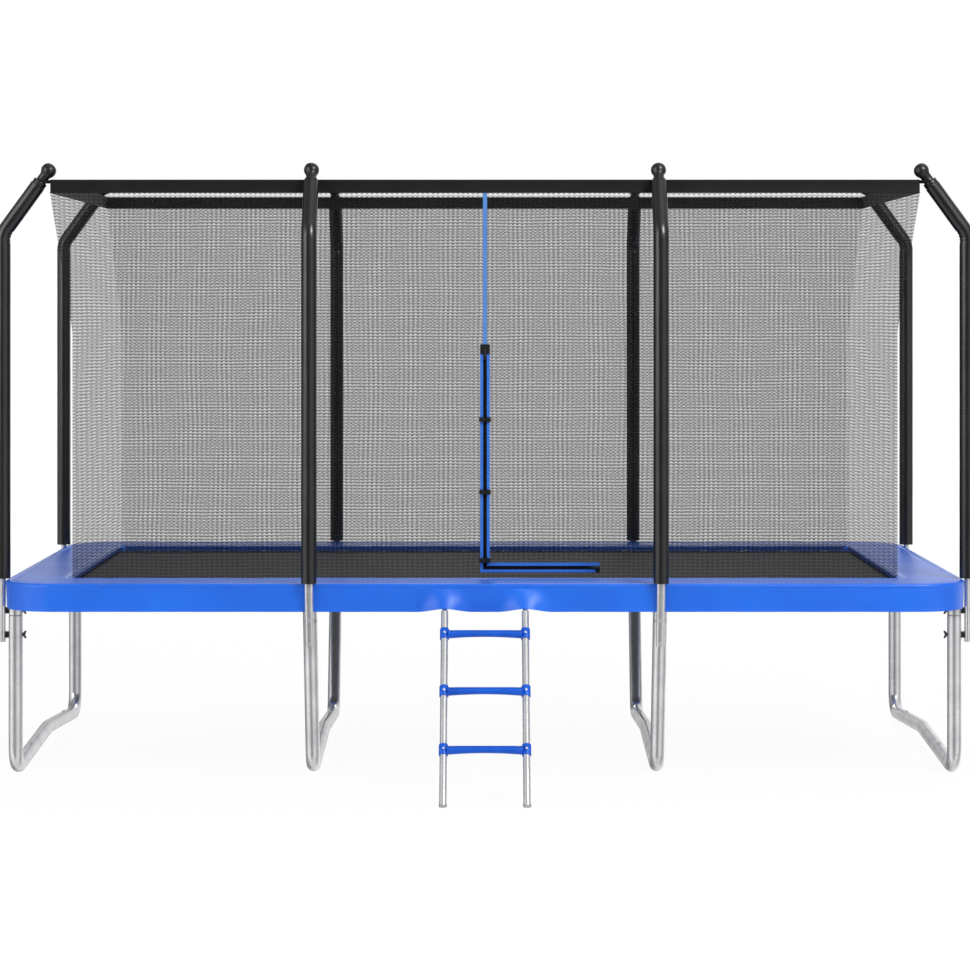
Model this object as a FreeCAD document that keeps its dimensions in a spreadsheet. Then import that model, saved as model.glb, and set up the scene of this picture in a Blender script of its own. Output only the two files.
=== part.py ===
import FreeCAD, Part
import Sketcher
import math
import os

# Rectangular garden trampoline with safety net, zip door and ladder.
# Millimetres, +Z up, +X along the frame, +Y to the rear, origin on the ground under the centre.

# Driving dimensions
DIMENSIONS = {
    "frame_length": 4270,
    "frame_width": 2440,
    "frame_level": 830,
    "corner_radius": 200,
    "rail_diameter": 60,
    "rail_wall": 1.5,
    "middle_rail_length": 2000,
    "rail_spigot": 80,
    "fit_clearance": 0.3,
    "leg_diameter": 63.5,
    "leg_wall": 2,
    "leg_bend": 100,
    "leg_base_rise": 3.3,
    "end_leg_inset": 240,
    "middle_leg_inset": 225.5,
    "middle_leg_lean": 18,
    "socket_drop": 110,
    "leg_spigot": 60,
    "base_length": 1000,
    "base_spigot": 90,
    "leg_bolt_inset": 45,
    "leg_bolt_length": 40,
    "bolt_size": 8,
    "bolt_clearance": 0.3,
    "bolt_head_width": 18,
    "bolt_head_height": 5,
    "bolt_reach": 10,
    "bolt_tail": 2,
    "pole_width": 38,
    "pole_depth": 25,
    "pole_wall": 1.4,
    "pole_foot_level": 600,
    "pole_joint_level": 1600,
    "pole_spigot": 90,
    "pole_bend": 110,
    "pole_lean": 36,
    "bend_drop": 180,
    "pole_lean_length": 309,
    "side_pole_setback": 60,
    "spacer_width": 28,
    "spacer_length": 14,
    "lower_bolt_level": 632,
    "upper_bolt_level": 741,
    "wing_span": 36,
    "wing_thickness": 7,
    "wing_height": 18,
    "wing_tip": 7,
    "wing_rim": 1,
    "hub_depth": 12.6,
    "foam_diameter": 69,
    "foam_foot_level": 885,
    "foam_seam_level": 1646,
    "foam_seam_gap": 0.6,
    "cap_collar_diameter": 64,
    "cap_collar_height": 22,
    "cap_neck_diameter": 47,
    "cap_neck_height": 34,
    "cap_ball_diameter": 68,
    "cap_flat_diameter": 20,
    "cap_overlap": 40,
    "end_spring_room": 255,
    "side_spring_room": 280,
    "mat_level": 850,
    "mat_thickness": 3,
    "mat_corner_radius": 60,
    "long_side_springs": 18,
    "short_side_springs": 9,
    "spring_margin": 130,
    "spring_width": 22,
    "spring_hook": 32,
    "spring_wire": 4,
    "spring_seat_level": 838,
    "pad_lap": 20,
    "pad_overhang": 11,
    "pad_thickness": 22,
    "pad_edge_radius": 7,
    "skirt_drop": 98,
    "skirt_thickness": 2.5,
    "skirt_bulge": 57,
    "skirt_bulge_width": 240,
    "pole_slot_clearance": 1,
    "hook_slot_clearance": 2,
    "net_thickness": 2,
    "net_flare_height": 620,
    "net_top_level": 2610,
    "net_end_flare": 85,
    "net_side_flare": 115,
    "net_border": 45,
    "net_hem": 100,
    "net_strand": 120,
    "long_net_columns": 10,
    "short_net_columns": 5,
    "band_height": 60,
    "band_thickness": 3,
    "loop_width": 15,
    "loop_thickness": 2,
    "zip_width": 44,
    "zip_top_level": 1910,
    "zip_foot_level": 905,
    "zip_reach": 516,
    "zip_thickness": 1.6,
    "zip_track_width": 13,
    "zip_slit": 4,
    "slider_width": 14,
    "slider_length": 32,
    "slider_depth": 7,
    "pull_width": 4,
    "pull_thickness": 2,
    "pull_overlap": 16,
    "buckle_height": 23,
    "buckle_length": 22,
    "buckle_depth": 10,
    "buckle_standoff": 12,
    "buckle_tab": 10,
    "buckle_wall": 2.5,
    "buckle_seam": 4.4,
    "buckle_prong_height": 11.5,
    "buckle_top_level": 1594,
    "buckle_middle_level": 1268,
    "buckle_low_level": 960,
    "ladder_width": 354,
    "ladder_tube": 32,
    "ladder_wall": 1.5,
    "ladder_head_gap": 72,
    "ladder_run": 583,
    "ladder_head_level": 762,
    "ladder_foot_cap": 12,
    "foot_cap_wall": 1.2,
    "ladder_plug": 20,
    "hook_width": 22,
    "hook_thickness": 4,
    "hook_clearance": 0.6,
    "hook_cheek": 25,
    "hook_seat": 6,
    "first_step_level": 214,
    "step_spacing": 228,
    "step_depth": 62,
    "step_height": 34,
    "step_arch": 14,
    "step_edge": 5,
    "step_sleeve_lap": 12,
    "sleeve_diameter": 40,
    "sleeve_length": 52,
    "screw_head_width": 9,
    "screw_head_height": 3,
}

# Sizes that follow from the driving ones
DERIVED = {
    "rail_x": "=frame_length / 2 - rail_diameter / 2",
    "rail_y": "=frame_width / 2 - rail_diameter / 2",
    "mat_length": "=frame_length - 2 * end_spring_room",
    "mat_width": "=frame_width - 2 * side_spring_room",
    "net_x": "=mat_length / 2 - pad_lap - fit_clearance",
    "net_y": "=mat_width / 2 - pad_lap - fit_clearance",
    "band_x": "=net_x + net_end_flare",
    "band_y": "=net_y + net_side_flare",
    "net_fold_level": "=net_top_level - net_flare_height",
    "pole_bend_level": "=net_top_level - bend_drop",
    "band_foot": "=net_top_level + fit_clearance",
    "tape_gap": "=net_y + fit_clearance",
    "track_gap": "=tape_gap + zip_thickness",
    "slider_gap": "=track_gap + zip_thickness + fit_clearance",
    "slider_body": "=slider_depth - 2 * zip_thickness",
    "track_level": "=zip_foot_level + zip_width / 2",
    "buckle_back": "=tape_gap + buckle_standoff",
    "bolt_hole": "=bolt_size + 2 * bolt_clearance",
    "hook_inner": "=rail_diameter / 2 / cos(15 deg) + hook_clearance",
    "hook_outer": "=hook_inner + hook_thickness",
    "step_half": "=ladder_width / 2 - step_sleeve_lap",
    "step_arch_radius": "=(step_half ^ 2 + step_arch ^ 2) / (2 * step_arch)",
}

# Flat sides that stand for a round section, and turns that stand for a bend
TUBE_SIDES = 12
BALL_RINGS = 3
BULGE_TURNS = 6
CORNER_TURNS = 6
WIDEST_TURN = 30

V = FreeCAD.Vector
ORIGIN = V(0, 0, 0)
RIGHT = V(1, 0, 0)
REAR = V(0, 1, 0)
UP = V(0, 0, 1)

document = FreeCAD.newDocument("Trampoline")
sheet = document.addObject("Spreadsheet::Sheet", "Sizes")
for row, (alias, number) in enumerate({**DIMENSIONS, **DERIVED}.items(), start=1):
    sheet.set(f"A{row}", alias)
    sheet.set(f"B{row}", str(number))
    sheet.setAlias(f"B{row}", alias)
document.recompute()


class SheetSizes:
    def __getattr__(self, alias):
        return float(sheet.get(alias))


size = SheetSizes()
nodes = []


# Objects of the document, bound to the sheet
def bind(thing, **formulas):
    for name, formula in formulas.items():
        thing.setExpression(name, formula)
    return thing


def position(thing, x="0", y="0", z="0", turn=FreeCAD.Rotation()):
    thing.Placement = FreeCAD.Placement(ORIGIN, turn)
    for axis, formula in zip("xyz", (x, y, z)):
        thing.setExpression(f"Placement.Base.{axis}", formula)
    return thing


def cut(name, base, tool):
    result = document.addObject("Part::Cut", name)
    result.Base = base
    result.Tool = tool
    return result


def fuse(name, *pieces):
    result = document.addObject("Part::MultiFuse", name)
    result.Shapes = list(pieces)
    result.Refine = True
    return result


def box(name, length, width, height, x, y, z):
    thing = document.addObject("Part::Box", name)
    bind(thing, Length=length, Width=width, Height=height)
    return position(thing, x, y, z)


def cylinder(name, radius, height, angle, x, y, z, turn):
    thing = document.addObject("Part::Cylinder", name)
    bind(thing, Radius=radius, Height=height, Angle=angle)
    return position(thing, x, y, z, turn)


# A body padded from a closed outline whose every corner is tied to the sheet
def padded(name, corners, length):
    body = document.addObject("PartDesign::Body", name)
    drawing = body.newObject("Sketcher::SketchObject", f"{name}_outline")
    count = len(corners)
    turns = [2 * math.pi * index / count for index in range(count)]
    circle = [V(math.cos(turn), math.sin(turn), 0) for turn in turns]
    for index in range(count):
        drawing.addGeometry(Part.LineSegment(circle[index], circle[(index + 1) % count]), False)
    for index, formulas in enumerate(corners):
        drawing.addConstraint(Sketcher.Constraint("Coincident", (index - 1) % count, 2, index, 1))
        for kind, start, formula in zip(("DistanceX", "DistanceY"), circle[index], formulas):
            number = drawing.addConstraint(Sketcher.Constraint(kind, -1, 1, index, 1, start))
            drawing.setExpression(f"Constraints[{number}]", formula)
    pad = body.newObject("PartDesign::Pad", f"{name}_pad")
    pad.Profile = drawing
    pad.setExpression("Length", length)
    return body


def mirrored(name, source, normal):
    twin = document.addObject("Part::Mirroring", name)
    twin.Source = source
    twin.Normal = normal
    return twin


def compound(name, pieces):
    result = document.addObject("Part::Compound", name)
    result.Links = list(pieces)
    return result


def shaped(name, shape):
    thing = document.addObject("Part::Feature", name)
    thing.Shape = shape
    thing.Placement = FreeCAD.Placement()
    return thing


def node(label, thing):
    thing.Label = label
    nodes.append(thing)
    return thing


# A piece of the rear right quarter and its three mirror images
def quarters(source):
    rear_left = mirrored(f"{source.Name}_rear_left", source, RIGHT)
    return {
        "rear_right": source,
        "rear_left": rear_left,
        "front_right": mirrored(f"{source.Name}_front_right", source, REAR),
        "front_left": mirrored(f"{source.Name}_front_left", rear_left, REAR),
    }


# Points of a bent tube: every bend is a row of equal mitred turns round its arc
def bent_line(corners, radii):
    points = [corners[0]]
    for before, corner, after, radius in zip(corners, corners[1:], corners[2:], radii):
        inward = (corner - before).normalize()
        onward = (after - corner).normalize()
        turn = inward.getAngle(onward)
        steps = math.ceil(math.degrees(turn) / WIDEST_TURN)
        axis = inward.cross(onward).normalize()
        start = corner - inward * (radius * math.tan(turn / 2))
        centre = start + axis.cross(inward) * radius
        for index in range(steps):
            spin = FreeCAD.Rotation(axis, math.degrees(turn / steps * (index + 0.5)))
            points.append(centre + spin.multVec(start - centre) / math.cos(turn / steps / 2))
    points.append(corners[-1])
    return points


# A round section drawn with flat sides that touch the circle from outside
def sided_wire(radius, place, direction, flat):
    flat = (flat - direction * (flat.dot(direction) / direction.dot(direction))).normalize()
    corner_radius = radius / math.cos(math.pi / TUBE_SIDES)
    points = []
    for index in range(TUBE_SIDES + 1):
        spin = FreeCAD.Rotation(direction, 360 / TUBE_SIDES * (index + 0.5))
        points.append(place + spin.multVec(flat) * corner_radius)
    return Part.makePolygon(points)


# A flat oval on a level plane: half of the sides round each end
def oval_wire(width, depth, place, along):
    across = UP.cross(along)
    reach = along * ((width - depth) / 2)
    half = TUBE_SIDES // 2
    points = []
    for end, turn in ((1, 0), (-1, 180)):
        for index in range(half // 2 + 1):
            angle = math.radians(turn - 90 + 180 * index / (half // 2))
            points.append(
                place + reach * end + (along * math.cos(angle) + across * math.sin(angle)) * (depth / 2)
            )
    return Part.makePolygon(points + points[:1])


def swept(points, section):
    return Part.makePolygon(points).makePipeShell([section], True, False, 1)


def sided_rod(points, radius, flat):
    return swept(points, sided_wire(radius, points[0], points[1] - points[0], flat))


# A square shank, or its hole, along a direction from a point
def square_rod(start, direction, width, length):
    direction = V(direction).normalize()
    side = direction.cross(RIGHT if abs(direction.x) < 0.5 else REAR).normalize()
    other = direction.cross(side)
    corners = [(1, 1), (-1, 1), (-1, -1), (1, -1), (1, 1)]
    points = [start + (side * u + other * v) * (width / 2) for u, v in corners]
    return Part.Face(Part.makePolygon(points)).extrude(direction * length)


def hexagon(start, direction, width, length):
    turn = FreeCAD.Rotation(UP, direction)
    points = []
    for index in range(7):
        angle = math.radians(60 * index)
        points.append(start + turn.multVec(V(math.cos(angle), math.sin(angle), 0)) * (width / 2))
    return Part.Face(Part.makePolygon(points)).extrude(V(direction).normalize() * length)


# Frame
rail_radius = size.rail_diameter / 2
rail_bore = rail_radius - size.rail_wall
rail_slim = rail_bore - size.fit_clearance
leg_radius = size.leg_diameter / 2
leg_bore = leg_radius - size.leg_wall
leg_slim = leg_bore - size.fit_clearance
rail_x = size.rail_x
rail_y = size.rail_y
end_leg_top = V(rail_x, size.frame_width / 2 - size.end_leg_inset, size.frame_level)
middle_leg_top = V(size.middle_rail_length / 2 - size.middle_leg_inset, rail_y, size.frame_level)
lean = math.radians(size.middle_leg_lean)


def downward(tilt):
    return V(0, -math.sin(tilt), -math.cos(tilt))


# Socket welded under a rail
def leg_socket(top, tilt):
    end = top + downward(tilt) * (size.socket_drop / math.cos(tilt))
    outer = sided_rod([top, end], leg_radius, RIGHT)
    return outer.cut(sided_rod([top, end], leg_bore, RIGHT))


def corner_rails():
    level = size.frame_level
    start = V(size.middle_rail_length / 2 + size.fit_clearance, rail_y, level)
    corner = V(rail_x, rail_y, level)
    end = V(rail_x, size.fit_clearance, level)
    line = bent_line([start, corner, end], [size.corner_radius])
    plug_tip = start - RIGHT * size.rail_spigot
    rail = sided_rod(line, rail_radius, UP).fuse(leg_socket(end_leg_top, 0))
    rail = rail.fuse(sided_rod([plug_tip, start + RIGHT], rail_slim, UP))
    bore = sided_rod([plug_tip, line[1]], rail_slim - size.rail_wall, UP)
    rail = rail.cut([bore] + pole_bolt_holes("end"))
    front = rail.cut(sided_rod([end, line[-2]], rail_bore, UP))
    end_plug = sided_rod([end - REAR * size.rail_spigot, end + REAR], rail_slim, UP)
    rear = rail.fuse(end_plug).cut(
        sided_rod([end - REAR * size.rail_spigot, line[-2]], rail_slim - size.rail_wall, UP)
    )
    front = mirrored("front_corner_rail", shaped("front_rail_master", front), REAR)
    right = node("end_rails_right", compound("right_rails", [shaped("rear_corner_rail", rear), front]))
    node("end_rails_left", mirrored("left_rails", right, RIGHT))


def middle_rails():
    half = size.middle_rail_length / 2
    start = V(-half, rail_y, size.frame_level)
    end = V(half, rail_y, size.frame_level)
    rail = sided_rod([start, end], rail_radius, UP)
    for side in (-1, 1):
        rail = rail.fuse(leg_socket(V(side * middle_leg_top.x, rail_y, size.frame_level), lean))
    rail = rail.cut(sided_rod([start, end], rail_bore, UP))
    for hole in pole_bolt_holes("middle"):
        rail = rail.cut([hole, hole.mirror(ORIGIN, RIGHT)])
    rear = node("middle_rail_rear", shaped("middle_rail", rail))
    node("middle_rail_front", mirrored("middle_rail_twin", rear, REAR))


# Legs
rise = math.radians(size.leg_base_rise)


# Height of a bend's centre over the lowest corner of its mitred tube
def bend_height(tilt):
    turn = math.pi / 2 + rise - tilt
    steps = math.ceil(math.degrees(turn) / WIDEST_TURN)
    mitre = turn / steps / 2
    lowest = max(math.cos(mitre * (2 * index + 1) - rise) for index in range(steps))
    return lowest * (size.leg_bend + leg_radius) / math.cos(mitre)


# Height of a base tube's middle, where its two rising halves meet
def kink_level(top, tilt):
    centre_level = bend_height(tilt)
    touch_y = top.y - (top.z - centre_level + size.leg_bend * math.sin(tilt)) * math.tan(tilt)
    centre_y = touch_y - size.leg_bend * math.cos(tilt)
    contact_y = centre_y - size.leg_bend * math.sin(rise)
    return centre_level - size.leg_bend * math.cos(rise) + math.tan(rise) * contact_y


# Point of a base tube's axis at a distance behind the middle
def base_point(top, tilt, reach):
    return V(top.x, reach, kink_level(top, tilt) - math.tan(rise) * reach)


def base_up(side):
    return V(0, side * math.sin(rise), math.cos(rise))


# Where the line of a post meets the line of its base
def leg_corner(top, tilt):
    level = base_point(top, tilt, 0).z - math.tan(rise) * (top.y - math.tan(tilt) * top.z)
    level /= 1 + math.tan(rise) * math.tan(tilt)
    return V(top.x, top.y - (top.z - level) * math.tan(tilt), level)


def leg_bolt_point(top, tilt):
    return base_point(top, tilt, size.base_length / 2 + size.leg_bolt_inset)


def leg_bolt_hole(top, tilt, side):
    point = leg_bolt_point(top, tilt)
    start = V(point.x, side * point.y, point.z)
    return square_rod(start, base_up(side), size.bolt_hole, size.leg_diameter)


def leg_post(top, tilt):
    down = downward(tilt)
    start = top + down * (size.socket_drop / math.cos(tilt) + size.fit_clearance)
    end = base_point(top, tilt, size.base_length / 2)
    line = bent_line([start, leg_corner(top, tilt), end], [size.leg_bend])
    plug_tip = start - down * size.leg_spigot
    post = sided_rod(line, leg_radius, RIGHT)
    post = post.fuse(sided_rod([plug_tip, start + down], leg_slim, RIGHT))
    post = post.cut(sided_rod([plug_tip, line[1]], leg_slim - size.leg_wall, RIGHT))
    post = post.cut(sided_rod([end, line[-2]], leg_bore, RIGHT))
    return post.cut(leg_bolt_hole(top, tilt, 1))


def leg_base(top, tilt):
    half = size.base_length / 2 - size.fit_clearance
    tip = half + size.base_spigot
    middle = base_point(top, tilt, 0)
    ends = [base_point(top, tilt, half), base_point(top, tilt, half - 1), base_point(top, tilt, tip)]
    base = sided_rod([middle, ends[0]], leg_radius, RIGHT)
    slim = sided_rod([ends[1], ends[2]], leg_slim, RIGHT)
    bore = sided_rod([middle, ends[2]], leg_slim - size.leg_wall, RIGHT)
    half_base = base.fuse(slim)
    whole = half_base.fuse(half_base.mirror(ORIGIN, REAR))
    whole = whole.cut(bore).cut(bore.mirror(ORIGIN, REAR))
    for side in (-1, 1):
        whole = whole.cut(leg_bolt_hole(top, tilt, side))
    return whole


def leg_bolt(top, tilt):
    seat = leg_bolt_point(top, tilt) + base_up(1) * leg_radius
    length = size.leg_bolt_length
    shank = square_rod(seat - base_up(1) * length, base_up(1), size.bolt_size, length)
    return shank.fuse(hexagon(seat, base_up(1), size.bolt_head_width, size.bolt_head_height))


def legs():
    bolts = []
    for kind, top, tilt in (("end", end_leg_top, 0), ("middle", middle_leg_top, lean)):
        post = leg_post(top, tilt)
        for hole in pole_bolt_holes(kind):
            post = post.cut(hole)
        post = shaped(f"{kind}_leg_post", post)
        front = mirrored(f"{kind}_leg_post_front", post, REAR)
        right = node(f"{kind}_leg_posts_right", compound(f"{kind}_posts", [post, front]))
        node(f"{kind}_leg_posts_left", mirrored(f"{kind}_posts_left", right, RIGHT))
        base = shaped(f"{kind}_leg_base", leg_base(top, tilt))
        twin = mirrored(f"{kind}_leg_base_left", base, RIGHT)
        node(f"{kind}_leg_bases", compound(f"{kind}_bases", [base, twin]))
        bolts += quarters(shaped(f"{kind}_leg_bolt", leg_bolt(top, tilt))).values()
    node("leg_bolts", compound("all_leg_bolts", bolts))


# Poles: a corner pole stands beside the end leg's post, a side pole outside the middle leg's post
pole_gap = leg_radius + size.spacer_length + size.pole_depth / 2
pole_lean = math.radians(size.pole_lean)
corner_pole = V(rail_x + pole_gap, end_leg_top.y, 0)
side_pole = V(middle_leg_top.x, rail_y + size.side_pole_setback, 0)
side_offset = pole_gap / math.cos(lean)
ankle_level = size.frame_level + (side_pole.y - rail_y - side_offset) / math.tan(lean)


class Pole:
    def __init__(self, kind):
        self.kind = kind
        self.foot = corner_pole if kind == "corner" else side_pole
        self.along = REAR if kind == "corner" else RIGHT
        self.inward = RIGHT * -1 if kind == "corner" else REAR * -1
        self.tilt = 0 if kind == "corner" else lean
        self.knee = self.foot + UP * size.pole_bend_level
        self.tip_direction = self.inward * math.sin(pole_lean) + UP * math.cos(pole_lean)
        self.tip = self.knee + self.tip_direction * size.pole_lean_length

    def level(self, height):
        return V(self.foot.x, self.foot.y, height)

    def lower_line(self):
        joint = self.level(size.pole_joint_level)
        if self.kind == "corner":
            return [joint, self.level(size.pole_foot_level)]
        ankle = self.level(ankle_level)
        drop = (ankle_level - size.pole_foot_level) / math.cos(lean)
        return [joint, ankle, ankle + downward(lean) * drop]

    def upper_line(self, level):
        return bent_line([self.level(level), self.knee, self.tip], [size.pole_bend])

    def bolt_points(self):
        top = end_leg_top if self.kind == "corner" else middle_leg_top
        points = []
        for level in (size.lower_bolt_level, size.upper_bolt_level):
            points.append(top + downward(self.tilt) * ((size.frame_level - level) / math.cos(self.tilt)))
        return points

    def outward(self):
        return RIGHT if self.kind == "corner" else V(0, math.cos(lean), -math.sin(lean))

    def tube(self, points, shrink, wall):
        width = size.pole_width - 2 * shrink
        depth = size.pole_depth - 2 * shrink
        outer = swept(points, oval_wire(width, depth, points[0], self.along))
        bore = oval_wire(width - 2 * wall, depth - 2 * wall, points[0], self.along)
        return outer.cut(swept(points, bore))


poles = {"corner": Pole("corner"), "side": Pole("side")}


# Square holes for the bolts, through the pole and the post behind it
def pole_bolt_holes(kind):
    pole = poles["corner" if kind == "end" else "side"]
    back = leg_radius + size.bolt_reach
    front = pole_gap + size.pole_depth / 2 + size.bolt_reach
    holes = []
    for point in pole.bolt_points():
        holes.append(square_rod(point - pole.outward() * back, pole.outward(), size.bolt_hole, back + front))
    return holes


def lower_poles():
    for kind, pole in poles.items():
        tube = pole.tube(pole.lower_line(), 0, size.pole_wall)
        for hole in pole_bolt_holes("end" if kind == "corner" else "middle"):
            tube = tube.cut(hole)
        for place, thing in quarters(shaped(f"{kind}_lower_pole", tube)).items():
            node(f"lower_{kind}_pole_{place}", thing)


def upper_poles():
    shrink = size.pole_wall + size.fit_clearance
    for kind, pole in poles.items():
        joint = size.pole_joint_level + size.fit_clearance
        wall = shrink + size.pole_wall
        tube = pole.tube(pole.upper_line(joint), 0, wall)
        plug_line = [pole.level(joint - size.pole_spigot), pole.level(joint + size.pole_wall)]
        plug = pole.tube(plug_line, shrink, size.pole_wall)
        source = shaped(f"{kind}_upper_pole", tube.fuse(plug))
        node(f"upper_{kind}_poles", compound(f"{kind}_upper_poles", quarters(source).values()))


def foam_sleeves():
    radius = size.foam_diameter / 2
    bore = size.pole_width / 2 + size.fit_clearance
    collar_foot = size.pole_lean_length - size.cap_overlap
    lower = []
    upper = []
    for kind, pole in poles.items():
        foot = pole.level(size.foam_foot_level)
        seam = pole.level(size.foam_seam_level)
        sleeve = sided_rod([foot, seam], radius, RIGHT).cut(sided_rod([foot, seam], bore, RIGHT))
        lower += quarters(shaped(f"{kind}_lower_foam", sleeve)).values()
        end = pole.knee + pole.tip_direction * (collar_foot - size.fit_clearance)
        line = bent_line([seam + UP * size.foam_seam_gap, pole.knee, end], [size.pole_bend])
        flat = pole.along
        sleeve = sided_rod(line, radius, flat).cut(sided_rod(line, bore, flat))
        upper += quarters(shaped(f"{kind}_upper_foam", sleeve)).values()
    node("foam_sleeves_lower", compound("lower_foam", lower))
    node("foam_sleeves_upper", compound("upper_foam", upper))


# Cap: a collar over the pole's end, a neck that holds the net's band, and a ball
def pole_caps():
    caps = []
    collar = size.cap_collar_diameter / 2
    neck = size.cap_neck_diameter / 2
    ball = size.cap_ball_diameter / 2
    neck_foot = size.cap_collar_height
    ball_centre = neck_foot + size.cap_neck_height + math.sqrt(ball ** 2 - neck ** 2)
    outline = [(collar, 0), (collar, neck_foot), (neck, neck_foot)]
    first = -math.acos(neck / ball)
    last = math.acos(size.cap_flat_diameter / size.cap_ball_diameter)
    for index in range(BALL_RINGS + 1):
        angle = first + (last - first) * index / BALL_RINGS
        outline.append((ball * math.cos(angle), ball_centre + ball * math.sin(angle)))
    for kind, pole in poles.items():
        seat = pole.tip - pole.tip_direction * size.cap_overlap
        cap = turned(outline, seat, pole.tip_direction, pole.along)
        width = size.pole_width + 2 * size.fit_clearance
        depth = size.pole_depth + 2 * size.fit_clearance
        bore_start = pole.tip - pole.tip_direction * (size.cap_overlap + 1)
        bore_end = pole.tip + pole.tip_direction * size.fit_clearance
        bore = swept([bore_start, bore_end], tilted_oval(width, depth, bore_start, pole))
        caps += quarters(shaped(f"{kind}_cap", cap.cut(bore))).values()
    node("pole_caps", compound("all_caps", caps))


# The pole's oval section square to its leaning end
def tilted_oval(width, depth, place, pole):
    wire = oval_wire(width, depth, ORIGIN, pole.along)
    wire.Placement = FreeCAD.Placement(place, FreeCAD.Rotation(UP, pole.tip_direction))
    return wire


# A solid through level rings of points, its walls split into flat triangles
def stacked(rings):
    faces = [Part.Face(Part.makePolygon(ring + ring[:1])) for ring in (rings[0], rings[-1])]
    for low, high in zip(rings, rings[1:]):
        for a, b, c, d in zip(low, low[1:] + low[:1], high[1:] + high[:1], high):
            faces.append(Part.Face(Part.makePolygon([a, b, c, a])))
            faces.append(Part.Face(Part.makePolygon([a, c, d, a])))
    return Part.Solid(Part.Shell(faces)).removeSplitter()


# A turned form with flat sides, from radius and height pairs along an axis
def turned(outline, place, direction, flat):
    rings = []
    for radius, height in outline:
        wire = sided_wire(radius, place + direction * height, direction, flat)
        rings.append([vertex.Point for vertex in wire.OrderedVertexes][:TUBE_SIDES])
    return stacked(rings)


# Fasteners of the poles: a bolt through pole, spacer and post, with a wing nut inside
def pole_fasteners():
    pieces = {"pole_spacers": [], "pole_bolts": [], "wing_nuts": []}
    nut_shape = wing_nut().Shape
    back = leg_radius + size.wing_thickness + size.bolt_tail
    pole_face = pole_gap + size.pole_depth / 2
    for kind, pole in poles.items():
        out = pole.outward()
        upward = out.cross(pole.along)
        turn = FreeCAD.Rotation(upward, out * -1, pole.along * -1, "XYZ")
        for index, point in enumerate(pole.bolt_points()):
            name = f"{kind}_{index}"
            shank = square_rod(point - out * back, out, size.bolt_size, back + pole_face)
            head = hexagon(point + out * pole_face, out, size.bolt_head_width, size.bolt_head_height)
            bolt = shaped(f"pole_bolt_{name}", shank.fuse(head))
            spacer = shaped(f"pole_spacer_{name}", spacer_block(point, out, upward))
            seat = point - out * leg_radius + pole.along * (size.hub_depth / 2)
            placed = nut_shape.transformed(FreeCAD.Placement(seat, turn).toMatrix(), True)
            nut = shaped(f"wing_nut_{name}", placed)
            for label, piece in zip(pieces, (spacer, bolt, nut)):
                pieces[label] += quarters(piece).values()
    for label, group in pieces.items():
        node(label, compound(f"all_{label}", group))


# Wing nut: a hub against the post and two raked wings, with the bolt's square hole
def wing_nut():
    root = "(Sizes.wing_thickness + Sizes.wing_rim)"
    half = "(Sizes.wing_span / 2)"
    tip = "(Sizes.wing_span / 2 - Sizes.wing_tip)"
    top = "Sizes.wing_height"
    outline = [(f"-{root}", "0"), (root, "0"), (half, top), (tip, top)]
    outline += [("0", root), (f"-{tip}", top), (f"-{half}", top)]
    blank = padded("wing_nut_blank", outline, "Sizes.hub_depth")
    hole = box(
        "wing_nut_hole", "Sizes.bolt_hole", "2 * Sizes.wing_height", "Sizes.bolt_hole",
        "-Sizes.bolt_hole / 2", "-Sizes.wing_height", "(Sizes.hub_depth - Sizes.bolt_hole) / 2",
    )
    master = cut("wing_nut_master", blank, hole)
    document.recompute()
    return master


# Spacer: a block hollowed to the post's flats, with the bolt's hole
def spacer_block(point, out, upward):
    block = square_rod(point, out, size.spacer_width, leg_radius + size.spacer_length)
    reach = upward * size.spacer_width
    post = sided_rod([point - reach, point + reach], leg_radius, RIGHT)
    hole = square_rod(point, out, size.bolt_hole, leg_radius + size.spacer_length)
    return block.cut([post, hole])


# Mat: a woven sheet with rounded corners
def rounded_sheet(name, length, width, radius, thickness, x, y, z):
    body = document.addObject("Part::Box", name)
    bind(body, Length=length, Width=width, Height=thickness)
    position(body, x, y, z)
    document.recompute()
    rounded = document.addObject("Part::Fillet", f"{name}_corners")
    rounded.Base = body
    upright = [index + 1 for index, edge in enumerate(body.Shape.Edges) if abs(edge.tangentAt(0).z) > 0.9]
    rounded.Edges = [(index, radius, radius) for index in upright]
    return rounded


def mat():
    half_length = "-Sizes.mat_length / 2"
    half_width = "-Sizes.mat_width / 2"
    sheet_solid = rounded_sheet(
        "mat_sheet", "Sizes.mat_length", "Sizes.mat_width", size.mat_corner_radius, "Sizes.mat_thickness",
        half_length, half_width, "Sizes.mat_level - Sizes.mat_thickness / 2",
    )
    node("jump_mat", sheet_solid)


# Springs: a square bar for each coil, tapering to the hook at either end
def spring(mat_edge, rail_edge):
    line = rail_edge - mat_edge
    direction = V(line).normalize()
    side = direction.cross(UP).normalize()
    top = side.cross(direction)
    rings = []
    stations = ((0, size.spring_wire), (size.spring_hook, size.spring_width),
                (line.Length - size.spring_hook, size.spring_width), (line.Length, size.spring_wire))
    for reach, width in stations:
        corners = ((1, 1), (-1, 1), (-1, -1), (1, -1))
        rings.append([mat_edge + direction * reach + (side * u + top * v) * (width / 2) for u, v in corners])
    return stacked(rings)


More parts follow.
